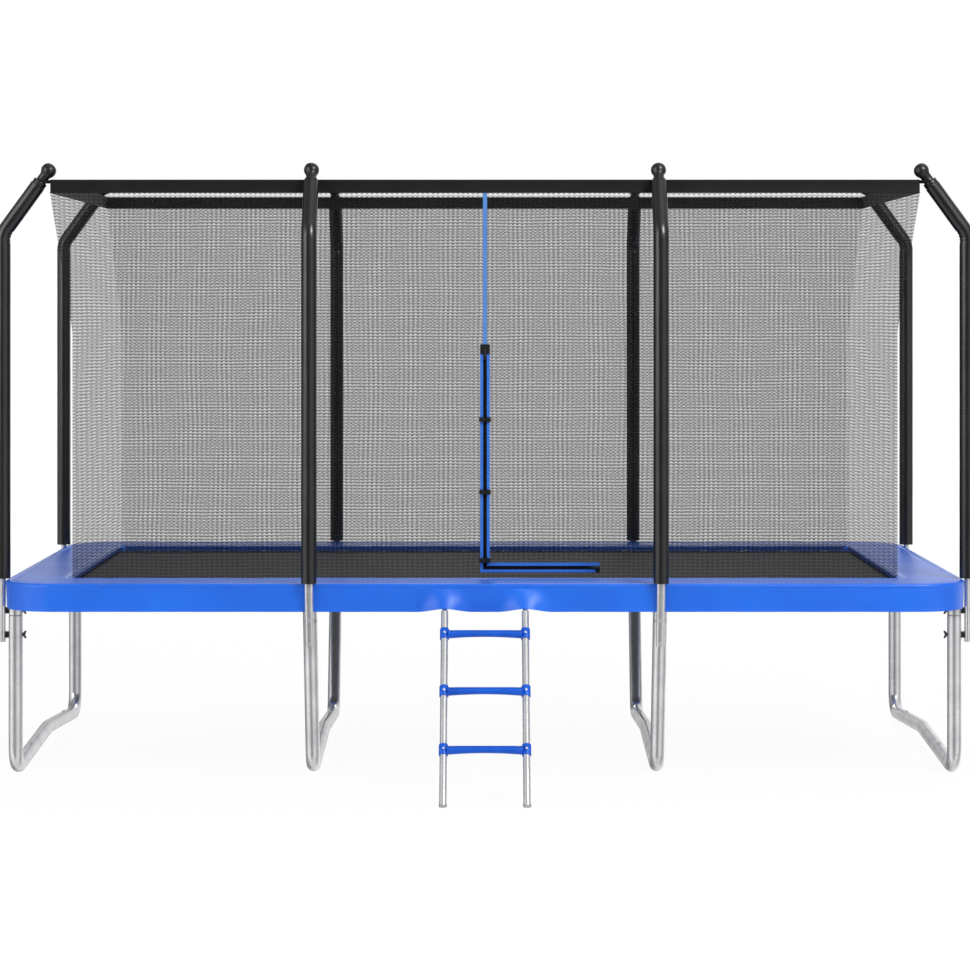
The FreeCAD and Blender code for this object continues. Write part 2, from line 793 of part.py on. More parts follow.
def springs():
    mat_x = size.mat_length / 2 + size.fit_clearance
    mat_y = size.mat_width / 2 + size.fit_clearance
    drop = size.frame_level - size.spring_seat_level
    seat = math.sqrt(rail_radius ** 2 - drop ** 2) / math.cos(math.pi / TUBE_SIDES) + size.fit_clearance
    pieces = []
    rail_level = size.spring_seat_level
    count = int(size.long_side_springs)
    span = size.mat_length - 2 * size.spring_margin
    for index in range(count):
        x = span * (index / (count - 1) - 0.5)
        pieces.append(spring(V(x, mat_y, size.mat_level), V(x, rail_y - seat, rail_level)))
    pieces += [piece.mirror(ORIGIN, REAR) for piece in pieces]
    count = int(size.short_side_springs)
    span = size.mat_width - 2 * size.spring_margin
    ends = []
    for index in range(count):
        y = span * (index / (count - 1) - 0.5)
        ends.append(spring(V(mat_x, y, size.mat_level), V(rail_x - seat, y, rail_level)))
    pieces += ends + [piece.mirror(ORIGIN, RIGHT) for piece in ends]
    node("springs", shaped("all_springs", Part.makeCompound(pieces)))


# Safety pad: a ring of foam over the springs, hollowed over the ladder's hooks
pad_x = rail_x + rail_radius + size.pad_overhang
pad_y = rail_y + rail_radius + size.pad_overhang
pad_radius = size.corner_radius + rail_radius + size.pad_overhang
pad_foot = size.frame_level + rail_radius + size.fit_clearance


def corner_points(half_x, half_y, radius, level):
    points = []
    for index, (sx, sy) in enumerate([(1, 1), (-1, 1), (-1, -1), (1, -1)]):
        centre = V(sx * (half_x - radius), sy * (half_y - radius), level)
        for turn in range(CORNER_TURNS + 1):
            angle = math.radians(90 * (index + turn / CORNER_TURNS))
            points.append(centre + V(math.cos(angle), math.sin(angle), 0) * radius)
    return points


def rounded_outline(half_x, half_y, radius, level):
    points = corner_points(half_x, half_y, radius, level)
    return Part.makePolygon(points + points[:1])


def safety_pad():
    top_radius = pad_radius - size.pad_edge_radius
    low = rounded_outline(pad_x, pad_y, pad_radius, pad_foot)
    shoulder = rounded_outline(pad_x, pad_y, pad_radius, pad_foot + size.pad_thickness - size.pad_edge_radius)
    crown = rounded_outline(
        pad_x - size.pad_edge_radius, pad_y - size.pad_edge_radius, top_radius, pad_foot + size.pad_thickness
    )
    body = Part.makeLoft([low, shoulder], True, True).fuse(Part.makeLoft([shoulder, crown], True, True))
    length = size.mat_length - 2 * size.pad_lap
    width = size.mat_width - 2 * size.pad_lap
    body = body.cut(Part.makeBox(length, width, size.pad_thickness, V(-length / 2, -width / 2, pad_foot)))
    reach = size.hook_outer + size.fit_clearance
    slot = size.hook_width + 2 * size.hook_slot_clearance
    for side in (-1, 1):
        start = V(side * size.ladder_width / 2 - slot / 2, -rail_y, size.frame_level)
        body = body.cut(sided_rod([start, start + RIGHT * slot], reach, UP))
    node("safety_pad", shaped("pad", body))


# Skirt: a sheet under the pad's edge, pushed out where the ladder's tubes come down behind it
def skirt_outline(inset, level, bulge):
    half_y = pad_y - inset
    points = corner_points(pad_x - inset, half_y, pad_radius - inset, level)
    reach = size.skirt_bulge_width / 2
    front = []
    for side in (-1, 1):
        for index in range(BULGE_TURNS + 1):
            share = 2 * index / BULGE_TURNS - 1
            swell = bulge * (1 + math.cos(math.pi * share)) / 2
            front.append(V(side * size.ladder_width / 2 + share * reach, -half_y - swell, level))
    last = 3 * (CORNER_TURNS + 1)
    return points[:last] + front + points[last:]


def pad_skirt():
    foot = pad_foot - size.skirt_drop
    layers = []
    for inset in (0, size.skirt_thickness):
        rings = [skirt_outline(inset, foot, size.skirt_bulge), skirt_outline(inset, pad_foot, 0)]
        layers.append(stacked(rings))
    skirt = layers[0].cut(layers[1])
    width = size.pole_width + 2 * size.pole_slot_clearance
    inner_face = rail_y + side_offset - size.pole_depth / 2 / math.cos(lean)
    slot_top = size.frame_level - (inner_face - pad_y - size.pole_slot_clearance) / math.tan(lean)
    depth = 2 * size.pole_width
    height = slot_top - foot
    for side_x in (-1, 1):
        for side_y in (-1, 1):
            corner = V(side_x * side_pole.x - width / 2, side_y * pad_y - depth / 2, slot_top - 2 * height)
            skirt = skirt.cut(Part.makeBox(width, depth, 2 * height, corner))
    node("pad_skirt", shaped("skirt", skirt))


# Net: four walls that meet on the corner diagonals, upright to the fold and flared above it
net_x = size.net_x
net_y = size.net_y
net_foot = size.mat_level + size.mat_thickness / 2 + size.fit_clearance


# One wall, upright to the fold and flared above it, its ends mitred against its neighbours
def net_wall(along, out, half_span, half_reach, flare_along, flare_out):
    gap = size.fit_clearance / 2
    rings = []
    for level, share in ((net_foot, 0), (size.net_fold_level, 0), (size.net_top_level, 1)):
        span = half_span + flare_along * share - gap
        reach = half_reach + flare_out * share
        ring = []
        for side, inset in ((-1, 0), (1, 0), (1, size.net_thickness), (-1, size.net_thickness)):
            ring.append(along * (side * (span - inset)) + out * (reach - inset) + UP * level)
        rings.append(ring)
    return stacked(rings)


# See-through panes of a wall, in rows between its hem, fold and top border
def mesh_gaps(half_span, columns, direction, reach):
    levels = [
        (net_foot + size.net_hem, (net_foot + size.net_hem + size.net_fold_level - size.net_strand) / 2),
        ((net_foot + size.net_hem + size.net_fold_level + size.net_strand) / 2, size.net_fold_level),
        (size.net_fold_level + size.net_strand, size.net_top_level - size.net_border),
    ]
    span = 2 * (half_span - size.net_border) + size.net_strand
    pitch = span / columns
    across = UP.cross(direction)
    depth = size.net_side_flare + size.net_end_flare
    gaps = []
    for column in range(int(columns)):
        start = -span / 2 + size.net_strand / 2 + column * pitch
        for low, high in levels:
            corner = across * start + direction * (reach - depth) + UP * low
            points = [corner, corner + across * (pitch - size.net_strand)]
            points += [points[1] + UP * (high - low), corner + UP * (high - low), corner]
            gaps.append(Part.Face(Part.makePolygon(points)).extrude(direction * (2 * depth)))
    return gaps


def net_walls():
    rear = net_wall(RIGHT, REAR, net_x, net_y, size.net_end_flare, size.net_side_flare)
    rear = rear.cut(mesh_gaps(net_x, size.long_net_columns, REAR, net_y))
    end = net_wall(REAR, RIGHT, net_y, net_x, size.net_side_flare, size.net_end_flare)
    end = end.cut(mesh_gaps(net_y, size.short_net_columns, RIGHT, net_x))
    node("net_rear", shaped("rear_net", rear))
    front = rear.mirror(ORIGIN, REAR)
    slit = size.zip_slit
    depth = 2 * size.net_thickness
    corner = V(-slit / 2, -net_y - depth / 2, size.track_level - slit / 2)
    upright = Part.makeBox(slit, depth, size.zip_top_level - corner.z, corner)
    level = Part.makeBox(size.zip_reach, depth, slit, corner)
    node("net_front", shaped("front_net", front.cut(upright).cut(level)))
    right = node("net_right", shaped("right_net", end))
    node("net_left", mirrored("left_net", right, RIGHT))


# Band: a closed strip standing on the walls' top edge
def net_band():
    outer = box(
        "band_outer", "2 * Sizes.band_x", "2 * Sizes.band_y", "Sizes.band_height",
        "-Sizes.band_x", "-Sizes.band_y", "Sizes.band_foot",
    )
    half_x = "(Sizes.band_x - Sizes.band_thickness)"
    half_y = "(Sizes.band_y - Sizes.band_thickness)"
    inner = box(
        "band_inner", f"2 * {half_x}", f"2 * {half_y}", "Sizes.band_height",
        f"-{half_x}", f"-{half_y}", "Sizes.band_foot",
    )
    node("net_band", cut("band", outer, inner))


# Loops: flat tabs from the band's upper edge to the neck of each cap
def band_loops():
    loops = []
    top = size.net_top_level + size.fit_clearance + size.band_height
    neck = size.cap_neck_diameter / 2 / math.cos(math.pi / TUBE_SIDES)
    for kind, pole in poles.items():
        out = pole.inward * -1
        edge = (size.band_x if kind == "corner" else size.band_y) + size.fit_clearance
        points = []
        for level in (top - size.loop_width, top):
            axis = pole.knee + pole.tip_direction * ((level - pole.knee.z) / pole.tip_direction.z)
            near = axis + pole.inward * (neck / math.cos(pole_lean) + size.fit_clearance)
            points.append([near, near - out * (near.dot(out) - edge)])
        outline = points[0] + points[1][::-1]
        tab = Part.Face(Part.makePolygon(outline + outline[:1])).extrude(pole.along * size.loop_thickness)
        loops += quarters(shaped(f"{kind}_loop", tab)).values()
    node("band_loops", compound("all_loops", loops))


# Door: an L of zip tape and track on the front wall, with a slider on each arm and three buckles
def corner_strip(name, width, gap):
    low = f"Sizes.track_level - {width} / 2"
    high = f"Sizes.track_level + {width} / 2"
    left = f"-{width} / 2"
    right = f"{width} / 2"
    top = "Sizes.zip_top_level"
    outline = [(left, low), ("Sizes.zip_reach", low), ("Sizes.zip_reach", high)]
    outline += [(right, high), (right, top), (left, top)]
    strip = padded(name, outline, "Sizes.zip_thickness")
    return position(strip, y=f"-{gap}", turn=FreeCAD.Rotation(RIGHT, 90))


def zip_door():
    node("zip_tape", corner_strip("tape", "Sizes.zip_width", "Sizes.tape_gap"))
    node("zip_track", corner_strip("track", "Sizes.zip_track_width", "Sizes.track_gap"))
    depth = "Sizes.slider_body"
    face = "-Sizes.slider_gap - Sizes.slider_body"
    pull_face = f"{face} - Sizes.pull_thickness"
    half = "Sizes.slider_width / 2"
    hem = "(Sizes.slider_length - Sizes.pull_overlap)"
    upright = box(
        "upright_slider_body", "Sizes.slider_width", depth, "Sizes.slider_length",
        f"-{half}", face, "Sizes.zip_top_level - Sizes.slider_length",
    )
    pull = box(
        "upright_slider_pull", "Sizes.pull_width", "Sizes.pull_thickness", "Sizes.slider_length",
        "-Sizes.pull_width / 2", pull_face, f"Sizes.zip_top_level - Sizes.slider_length - {hem}",
    )
    node("zip_slider_upright", fuse("upright_slider", upright, pull))
    level = box(
        "level_slider_body", "Sizes.slider_length", depth, "Sizes.slider_width",
        "Sizes.zip_reach - Sizes.slider_length", face, f"Sizes.track_level - {half}",
    )
    pull = box(
        "level_slider_pull", "Sizes.slider_length", "Sizes.pull_thickness", "Sizes.pull_width",
        f"Sizes.zip_reach - Sizes.slider_length - {hem}", pull_face,
        "Sizes.track_level - Sizes.pull_width / 2",
    )
    node("zip_slider_level", fuse("level_slider", level, pull))


# Buckles: a hollow socket on the left cloth and a tongue on the right one, its prong inside the socket
def buckles():
    sockets = []
    height = "Sizes.buckle_height"
    depth = "Sizes.buckle_depth"
    wall = "Sizes.buckle_wall"
    face = "-Sizes.buckle_back - Sizes.buckle_depth"
    gap = "Sizes.fit_clearance"
    stem = "Sizes.buckle_standoff - Sizes.zip_thickness"
    mouth = "Sizes.buckle_length + Sizes.buckle_seam"
    for name in ("top", "middle", "low"):
        level = f"Sizes.buckle_{name}_level"
        foot = f"{level} - {height} / 2"
        shell = box(f"{name}_shell", mouth, depth, height, "-Sizes.buckle_length", face, foot)
        cavity = box(
            f"{name}_cavity", f"{mouth} - {wall}", f"{depth} - 2 * {wall}", f"{height} - 2 * {wall}",
            f"{wall} - Sizes.buckle_length", f"{face} + {wall}", f"{foot} + {wall}",
        )
        stem_left = "-Sizes.buckle_length - Sizes.buckle_tab / 2"
        tab = box(
            f"{name}_socket_tab", "Sizes.buckle_tab", stem, height, stem_left, "-Sizes.buckle_back", foot
        )
        sockets.append(fuse(f"{name}_socket", cut(f"{name}_case", shell, cavity), tab))
        head = box(
            f"{name}_head", "Sizes.buckle_length - Sizes.buckle_seam", depth, height,
            f"Sizes.buckle_seam + {gap}", face, foot,
        )
        prong = box(
            f"{name}_prong", "Sizes.buckle_length", f"{depth} - 2 * {wall} - 2 * {gap}",
            "Sizes.buckle_prong_height", f"Sizes.buckle_seam - Sizes.buckle_length + {wall} + 2 * {gap}",
            f"{face} + {wall} + {gap}", f"{level} - Sizes.buckle_prong_height / 2",
        )
        tab = box(
            f"{name}_tongue_tab", "Sizes.buckle_tab", f"{stem} - {gap}", height,
            "Sizes.buckle_length - Sizes.buckle_tab / 2", "-Sizes.buckle_back", foot,
        )
        node(f"buckle_tongue_{name}", fuse(f"{name}_tongue", head, prong, tab))
    node("buckle_sockets", compound("sockets", sockets))


# Ladder: two tubes hooked over the front rail, three moulded steps, rubber feet
ladder_head = V(0, -rail_y - size.ladder_head_gap, size.ladder_head_level)
ladder_foot = V(0, ladder_head.y - size.ladder_run, 0)
ladder_down = (ladder_foot - ladder_head).normalize()
ladder_front = V(0, ladder_down.z, -ladder_down.y)
tube_radius = size.ladder_tube / 2


def ladder_point(level, x):
    point = ladder_head + ladder_down * ((level - ladder_head.z) / ladder_down.z)
    return V(x, point.y, level)


# Hook: a half ring of flat bar over the rail, a cheek down its front and a tang into the tube
def ladder_hook():
    ring_x = "Sizes.ladder_width / 2 - Sizes.hook_width / 2"
    over = FreeCAD.Rotation(REAR, 90).multiply(FreeCAD.Rotation(UP, 90))
    place = (ring_x, "-Sizes.rail_y", "Sizes.frame_level", over)
    outer = cylinder("hook_bend", "Sizes.hook_outer", "Sizes.hook_width", "180", *place)
    inner = cylinder("hook_throat", "Sizes.hook_inner", "Sizes.hook_width", "360", *place)
    cheek = box(
        "hook_cheek", "Sizes.hook_width", "Sizes.hook_thickness", "Sizes.hook_cheek",
        ring_x, "-Sizes.rail_y - Sizes.hook_outer", "Sizes.frame_level - Sizes.hook_cheek",
    )
    x = size.ladder_width / 2 - size.hook_width / 2
    throat = ladder_point(size.ladder_head_level - size.hook_seat, x)
    front = V(x, -rail_y - size.hook_outer, size.frame_level - size.hook_cheek)
    reach = ladder_front * (tube_radius / 2)
    points = [front + REAR * size.hook_thickness, throat - reach, throat + reach, front]
    tang = Part.Face(Part.makePolygon(points + points[:1])).extrude(RIGHT * size.hook_width)
    return [cut("hook_ring", outer, inner), cheek, shaped("hook_tang", tang)]


# Everything under a level, to trim a slanting tube's foot flat
def ground_block(x, top):
    side = 4 * size.ladder_tube
    return Part.makeBox(side, side, side, V(x - side / 2, ladder_foot.y - side / 2, top - side))


def ladder_rails():
    right_x = size.ladder_width / 2
    head = ladder_point(size.ladder_head_level, right_x)
    foot = ladder_point(-tube_radius, right_x)
    tube = sided_rod([head, foot], tube_radius, RIGHT)
    bore = sided_rod([head + ladder_down * size.ladder_plug, foot], tube_radius - size.ladder_wall, RIGHT)
    tube = tube.cut([bore, ground_block(right_x, size.ladder_wall)])
    rail = fuse("ladder_rail", shaped("ladder_tube", tube), *ladder_hook())
    node("ladder_rail_right", rail)
    node("ladder_rail_left", mirrored("ladder_tube_left", rail, RIGHT))
    fit = tube_radius + size.fit_clearance
    boot = sided_rod([head, foot], fit + size.foot_cap_wall, RIGHT)
    boot = boot.common(ground_block(right_x, size.ladder_foot_cap))
    sole = ground_block(right_x, size.ladder_wall - size.fit_clearance)
    inside = sided_rod([head, foot], fit, RIGHT).cut(sole)
    right = shaped("ladder_boot_right", boot.cut([inside, ground_block(right_x, 0)]))
    node("ladder_feet", compound("ladder_boots", [right, mirrored("ladder_boot_left", right, RIGHT)]))


# Step: a bar chamfered along its top, arched underneath
def step_bar(name, level, depth_place):
    foot = f"{level} - Sizes.step_height / 2"
    front = f"{depth_place} - Sizes.step_depth / 2"
    bar = box(
        f"{name}_bar", "2 * Sizes.step_half", "Sizes.step_depth", "Sizes.step_height",
        "-Sizes.step_half", front, foot,
    )
    document.recompute()
    edged = document.addObject("Part::Chamfer", f"{name}_edged")
    edged.Base = bar
    top = size.step_height / 2 + bar.Shape.CenterOfMass.z
    edged.Edges = [
        (index, size.step_edge, size.step_edge) for index, edge in enumerate(bar.Shape.Edges, start=1)
        if edge.BoundBox.ZMin > top - 1 and edge.BoundBox.XLength > size.step_depth
    ]
    arch = cylinder(
        f"{name}_arch", "Sizes.step_arch_radius", "Sizes.step_depth", "360",
        "0", front, f"{foot} + Sizes.step_arch - Sizes.step_arch_radius", FreeCAD.Rotation(RIGHT, -90),
    )
    return cut(f"{name}_arched", edged, arch)


def ladder_steps():
    screws = []
    for index, name in enumerate(("low", "middle", "top")):
        level = size.first_step_level + index * size.step_spacing
        formula = f"(Sizes.first_step_level + {index} * Sizes.step_spacing)"
        fall = f"(1 - {formula} / Sizes.ladder_head_level)"
        depth_place = f"-(Sizes.rail_y + Sizes.ladder_head_gap + Sizes.ladder_run * {fall})"
        bar = step_bar(name, formula, depth_place)
        sleeves = []
        bores = []
        for side in (-1, 1):
            centre = ladder_point(level, side * size.ladder_width / 2)
            reach = ladder_down * (size.sleeve_length / 2)
            sleeve_radius = size.sleeve_diameter / 2
            sleeve = sided_rod([centre - reach, centre + reach], sleeve_radius, RIGHT)
            line = [centre - reach * 2, centre + reach * 2]
            bore = sided_rod(line, tube_radius + size.fit_clearance, RIGHT)
            sleeves.append(shaped(f"{name}_sleeve", sleeve))
            bores.append(shaped(f"{name}_bore", bore))
            seat = centre + ladder_front * sleeve_radius
            screws.append(hexagon(seat, ladder_front, size.screw_head_width, size.screw_head_height))
        body = fuse(f"step_{name}_body", bar, *sleeves)
        node(f"ladder_step_{name}", cut(f"step_{name}", body, compound(f"{name}_bores", bores)))
    node("step_screws", shaped("all_step_screws", Part.makeCompound(screws)))


def check_and_write():
    document.recompute()
    faults = [thing.Name for thing in document.Objects if {"Invalid", "Error"} & set(thing.State)]
    for piece in nodes:
        if piece.Shape.isNull() or not piece.Shape.isValid() or not piece.Shape.Solids:
            faults.append(piece.Label)
    if faults:
        raise RuntimeError(f"faulty pieces: {faults}")
    os.makedirs("parts", exist_ok=True)
    for piece in nodes:
        piece.Shape.exportStep(f"parts/{piece.Label}.step")
    print(len(nodes), "nodes written")


legs()
corner_rails()
middle_rails()
lower_poles()
upper_poles()
foam_sleeves()
pole_caps()
pole_fasteners()
mat()
springs()
safety_pad()
pad_skirt()
net_walls()
net_band()
band_loops()
zip_door()
buckles()
ladder_rails()
ladder_steps()
check_and_write()
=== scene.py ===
import math
import bmesh
import bpy
from mathutils import Matrix, Vector, noise


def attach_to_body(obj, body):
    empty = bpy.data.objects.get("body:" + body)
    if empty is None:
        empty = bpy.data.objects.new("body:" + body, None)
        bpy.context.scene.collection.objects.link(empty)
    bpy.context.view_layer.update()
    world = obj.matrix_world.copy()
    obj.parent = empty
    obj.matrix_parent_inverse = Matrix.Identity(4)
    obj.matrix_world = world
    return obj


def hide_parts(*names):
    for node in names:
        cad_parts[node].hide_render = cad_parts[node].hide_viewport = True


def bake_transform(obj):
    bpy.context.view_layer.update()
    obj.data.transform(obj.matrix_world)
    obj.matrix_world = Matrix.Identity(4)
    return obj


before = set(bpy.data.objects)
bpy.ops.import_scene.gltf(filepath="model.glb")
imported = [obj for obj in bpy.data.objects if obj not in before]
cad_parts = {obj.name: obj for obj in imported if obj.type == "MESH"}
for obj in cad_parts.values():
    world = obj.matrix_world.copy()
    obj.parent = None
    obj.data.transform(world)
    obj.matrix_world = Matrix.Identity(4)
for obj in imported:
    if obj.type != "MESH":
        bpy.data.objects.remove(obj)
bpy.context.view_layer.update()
print("frame loaded")

right = Vector((1, 0, 0))
rear = Vector((0, 1, 0))
up = Vector((0, 0, 1))
frameBody = "frame"
ladderBody = "ladder"
quarterSigns = {"rear_right": (1, 1), "rear_left": (-1, 1), "front_right": (1, -1), "front_left": (-1, -1)}
cornerSigns = ((1, 1), (-1, 1), (-1, -1), (1, -1))

# Each side's way out, way along, and whether it is a long one
walls = {
    "rear": (rear, right, True), "front": (-rear, right, True),
    "right": (right, rear, False), "left": (-right, rear, False),
}


# Shader parts
def rgb(red, green, blue):
    def toLinear(value):
        share = value / 255
        return share / 12.92 if share <= 0.04045 else ((share + 0.055) / 1.055) ** 2.4
    return (toLinear(red), toLinear(green), toLinear(blue), 1.0)


def addNode(tree, kind, inputs=None, **settings):
    node = tree.nodes.new(kind)
    for name, value in settings.items():
        setattr(node, name, value)
    for name, value in (inputs or {}).items():
        if isinstance(value, bpy.types.NodeSocket):
            tree.links.new(value, node.inputs[name])
        else:
            node.inputs[name].default_value = value
    return node


def maths(tree, operation, first, second=0.0, third=0.0):
    node = addNode(tree, "ShaderNodeMath", {0: first, 1: second, 2: third}, operation=operation)
    return node.outputs[0]


# Colour mix; its sockets are given by place because their names repeat
def mixed(tree, factor, first, second, kind="MIX"):
    node = addNode(tree, "ShaderNodeMix", {0: factor, 6: first, 7: second}, data_type="RGBA", blend_type=kind)
    return node.outputs[2]


def ranged(tree, value, start=0.0, end=1.0, low=0.0, high=1.0):
    node = addNode(tree, "ShaderNodeMapRange", {
        "Value": value, "From Min": start, "From Max": end, "To Min": low, "To Max": high})
    return node.outputs[0]


def noisy(tree, place, scale, detail):
    return addNode(tree, "ShaderNodeTexNoise", {"Vector": place, "Scale": scale, "Detail": detail}).outputs[0]


def bumped(tree, height, strength, distance):
    node = addNode(tree, "ShaderNodeBump", {"Strength": strength, "Distance": distance, "Height": height})
    return node.outputs[0]


def newGroup(name, inputs, outputs):
    group = bpy.data.node_groups.new(name, "ShaderNodeTree")
    kinds = {"value": "NodeSocketFloat", "vector": "NodeSocketVector", "colour": "NodeSocketColor"}
    for label, (kind, default) in inputs.items():
        socket = group.interface.new_socket(label, in_out="INPUT", socket_type=kinds[kind])
        if default is not None:
            socket.default_value = default
    for label, kind in outputs.items():
        group.interface.new_socket(label, in_out="OUTPUT", socket_type=kinds[kind])
    return group, addNode(group, "NodeGroupInput"), addNode(group, "NodeGroupOutput")


# Two colours mixed in soft patches
def makeMottle():
    group, given, result = newGroup(
        "mottle",
        {"Place": ("vector", None), "Light": ("colour", (1, 1, 1, 1)), "Dark": ("colour", (0, 0, 0, 1)),
         "Scale": ("value", 10.0), "Detail": ("value", 3.0)},
        {"Colour": "colour", "Patch": "value"},
    )
    cloud = noisy(group, given.outputs["Place"], given.outputs["Scale"], given.outputs["Detail"])
    patch = ranged(group, cloud, 0.3, 0.7)
    colour = mixed(group, patch, given.outputs["Dark"], given.outputs["Light"])
    group.links.new(colour, result.inputs["Colour"])
    group.links.new(patch, result.inputs["Patch"])
    return group


# Height of two crossing sets of threads
def makeWeave():
    group, given, result = newGroup(
        "weave",
        {"Place": ("vector", None), "Across": ("value", 300.0), "Along": ("value", 300.0)},
        {"Height": "value", "Warp": "value"},
    )
    split = addNode(group, "ShaderNodeSeparateXYZ", {0: given.outputs["Place"]})
    waves = []
    for axis, label in enumerate(("Across", "Along")):
        turned = maths(group, "MULTIPLY", split.outputs[axis], given.outputs[label])
        angle = maths(group, "MULTIPLY", turned, 2 * math.pi)
        waves.append(maths(group, "SINE", angle))
    height = maths(group, "MULTIPLY_ADD", waves[0], waves[1], 1.0)
    group.links.new(height, result.inputs["Height"])
    group.links.new(waves[1], result.inputs["Warp"])
    return group


# Fine surface grain as a normal
def makeGrain():
    group, given, result = newGroup(
        "grain",
        {"Place": ("vector", None), "Scale": ("value", 400.0), "Strength": ("value", 0.1),
         "Depth": ("value", 0.001)},
        {"Normal": "vector", "Grain": "value"},
    )
    speck = noisy(group, given.outputs["Place"], given.outputs["Scale"], 4.0)
    normal = bumped(group, speck, given.outputs["Strength"], given.outputs["Depth"])
    group.links.new(normal, result.inputs["Normal"])
    group.links.new(speck, result.inputs["Grain"])
    return group


mottle = makeMottle()
weave = makeWeave()
grain = makeGrain()


def useGroup(tree, group, **inputs):
    return addNode(tree, "ShaderNodeGroup", inputs, node_tree=group)


def newMaterial(name, **constants):
    material = bpy.data.materials.new(name)
    material.use_nodes = True
    tree = material.node_tree
    surface = tree.nodes["Principled BSDF"]
    for label, value in constants.items():
        surface.inputs[label.replace("_", " ")].default_value = value
    return material, tree, surface


def objectPlace(tree):
    return addNode(tree, "ShaderNodeTexCoord").outputs["Object"]


def clothPlace(tree):
    return addNode(tree, "ShaderNodeUVMap", uv_map="cloth").outputs[0]


def addGrain(tree, surface, place, scale, strength, depth):
    fine = useGroup(tree, grain, Place=place, Scale=scale, Strength=strength, Depth=depth)
    tree.links.new(fine.outputs["Normal"], surface.inputs["Normal"])


# Galvanised tube: spangled zinc in soft patches, with a fine grain
def makeGalvanised(name, light, dark, roughness):
    material, tree, surface = newMaterial(name, Metallic=0.74)
    place = objectPlace(tree)
    tone = useGroup(tree, mottle, Place=place, Light=(*light, 1.0), Dark=(*dark, 1.0), Scale=9.0)
    spangle = addNode(tree, "ShaderNodeTexVoronoi", {"Vector": place, "Scale": 140.0})
    flake = ranged(tree, spangle.outputs["Color"], low=0.95, high=1.03)
    shade = mixed(tree, 1.0, tone.outputs["Colour"], flake, "MULTIPLY")
    tree.links.new(shade, surface.inputs["Base Color"])
    rough = ranged(tree, tone.outputs["Patch"], low=roughness + 0.04, high=roughness - 0.03)
    tree.links.new(rough, surface.inputs["Roughness"])
    addGrain(tree, surface, place, 700.0, 0.06, 0.0003)
    return material


# Moulded plastic with a fine grain
def makeMoulded(name, light, dark, roughness, scale=60.0, coat=0.0, depth=0.0003, gloss=0.5):
    material, tree, surface = newMaterial(
        name, Roughness=roughness, Specular_IOR_Level=gloss, Coat_Weight=coat, Coat_Roughness=0.2)
    place = objectPlace(tree)
    tone = useGroup(tree, mottle, Place=place, Light=rgb(*light), Dark=rgb(*dark), Scale=scale)
    tree.links.new(tone.outputs["Colour"], surface.inputs["Base Color"])
    addGrain(tree, surface, place, 900.0, 0.25, depth)
    return material


# Woven or coated cloth on the piece's own flat pattern, with its threads per metre across and along
def makeCloth(name, light, dark, roughness, threads, depth, gloss=0.25, scale=6.0, coat=0.0):
    material, tree, surface = newMaterial(
        name, Roughness=roughness, Specular_IOR_Level=gloss, Coat_Weight=coat, Coat_Roughness=0.25)
    place = clothPlace(tree)
    tone = useGroup(tree, mottle, Place=place, Light=rgb(*light), Dark=rgb(*dark), Scale=scale)
    woven = useGroup(tree, weave, Place=place, Across=threads[0], Along=threads[1])
    # Painted shade: the cloth's colour is darkened where the weave is low, between the threads, and lifted a
    # little on their crowns
    shade = ranged(tree, woven.outputs["Height"], end=2.0, low=0.86, high=1.06)
    colour = mixed(tree, 1.0, tone.outputs["Colour"], shade, "MULTIPLY")
    tree.links.new(colour, surface.inputs["Base Color"])
    tree.links.new(bumped(tree, woven.outputs["Height"], 0.5, depth), surface.inputs["Normal"])
    return material


netMesh = {
    "rows": 65.8, "columns": 44.3, "zigzag": 0.0022, "jitter": 0.006, "upright": 0.45, "columnDrift": 0.03,
    "rowDrift": 0.02, "light": (26, 26, 28), "dark": (0.002, 0.002, 0.002, 1.0),
}


# Fine net: dark zigzag rows of thread over a paler ground, with faint upright threads between them
def makeNet(name, cover, contrast):
    material, tree, surface = newMaterial(name, Roughness=0.8, Specular_IOR_Level=0.2)
    place = clothPlace(tree)
    split = addNode(tree, "ShaderNodeSeparateXYZ", {0: place})
    drift = noisy(tree, place, 1.7, 2.0)
    jitter = noisy(tree, place, 45.0, 1.0)
    column = maths(tree, "MULTIPLY_ADD", drift, netMesh["columnDrift"], split.outputs[0])
    turn = maths(tree, "SINE", maths(tree, "MULTIPLY", column, netMesh["columns"] * 2 * math.pi))
    level = maths(tree, "MULTIPLY_ADD", drift, netMesh["rowDrift"], split.outputs[1])
    level = maths(tree, "MULTIPLY_ADD", turn, netMesh["zigzag"], level)
    level = maths(tree, "MULTIPLY_ADD", jitter, netMesh["jitter"], level)
    row = maths(tree, "SINE", maths(tree, "MULTIPLY", level, netMesh["rows"] * 2 * math.pi))
    tone = useGroup(tree, mottle, Place=place, Light=rgb(*netMesh["light"]), Dark=netMesh["dark"], Scale=3.0)
    tree.links.new(tone.outputs["Colour"], surface.inputs["Base Color"])
    strand = maths(tree, "MULTIPLY_ADD", row, contrast, cover)
    alpha = maths(tree, "MULTIPLY_ADD", turn, contrast * netMesh["upright"], strand)
    held = addNode(tree, "ShaderNodeClamp", {"Value": alpha})
    tree.links.new(held.outputs[0], surface.inputs["Alpha"])
    return material


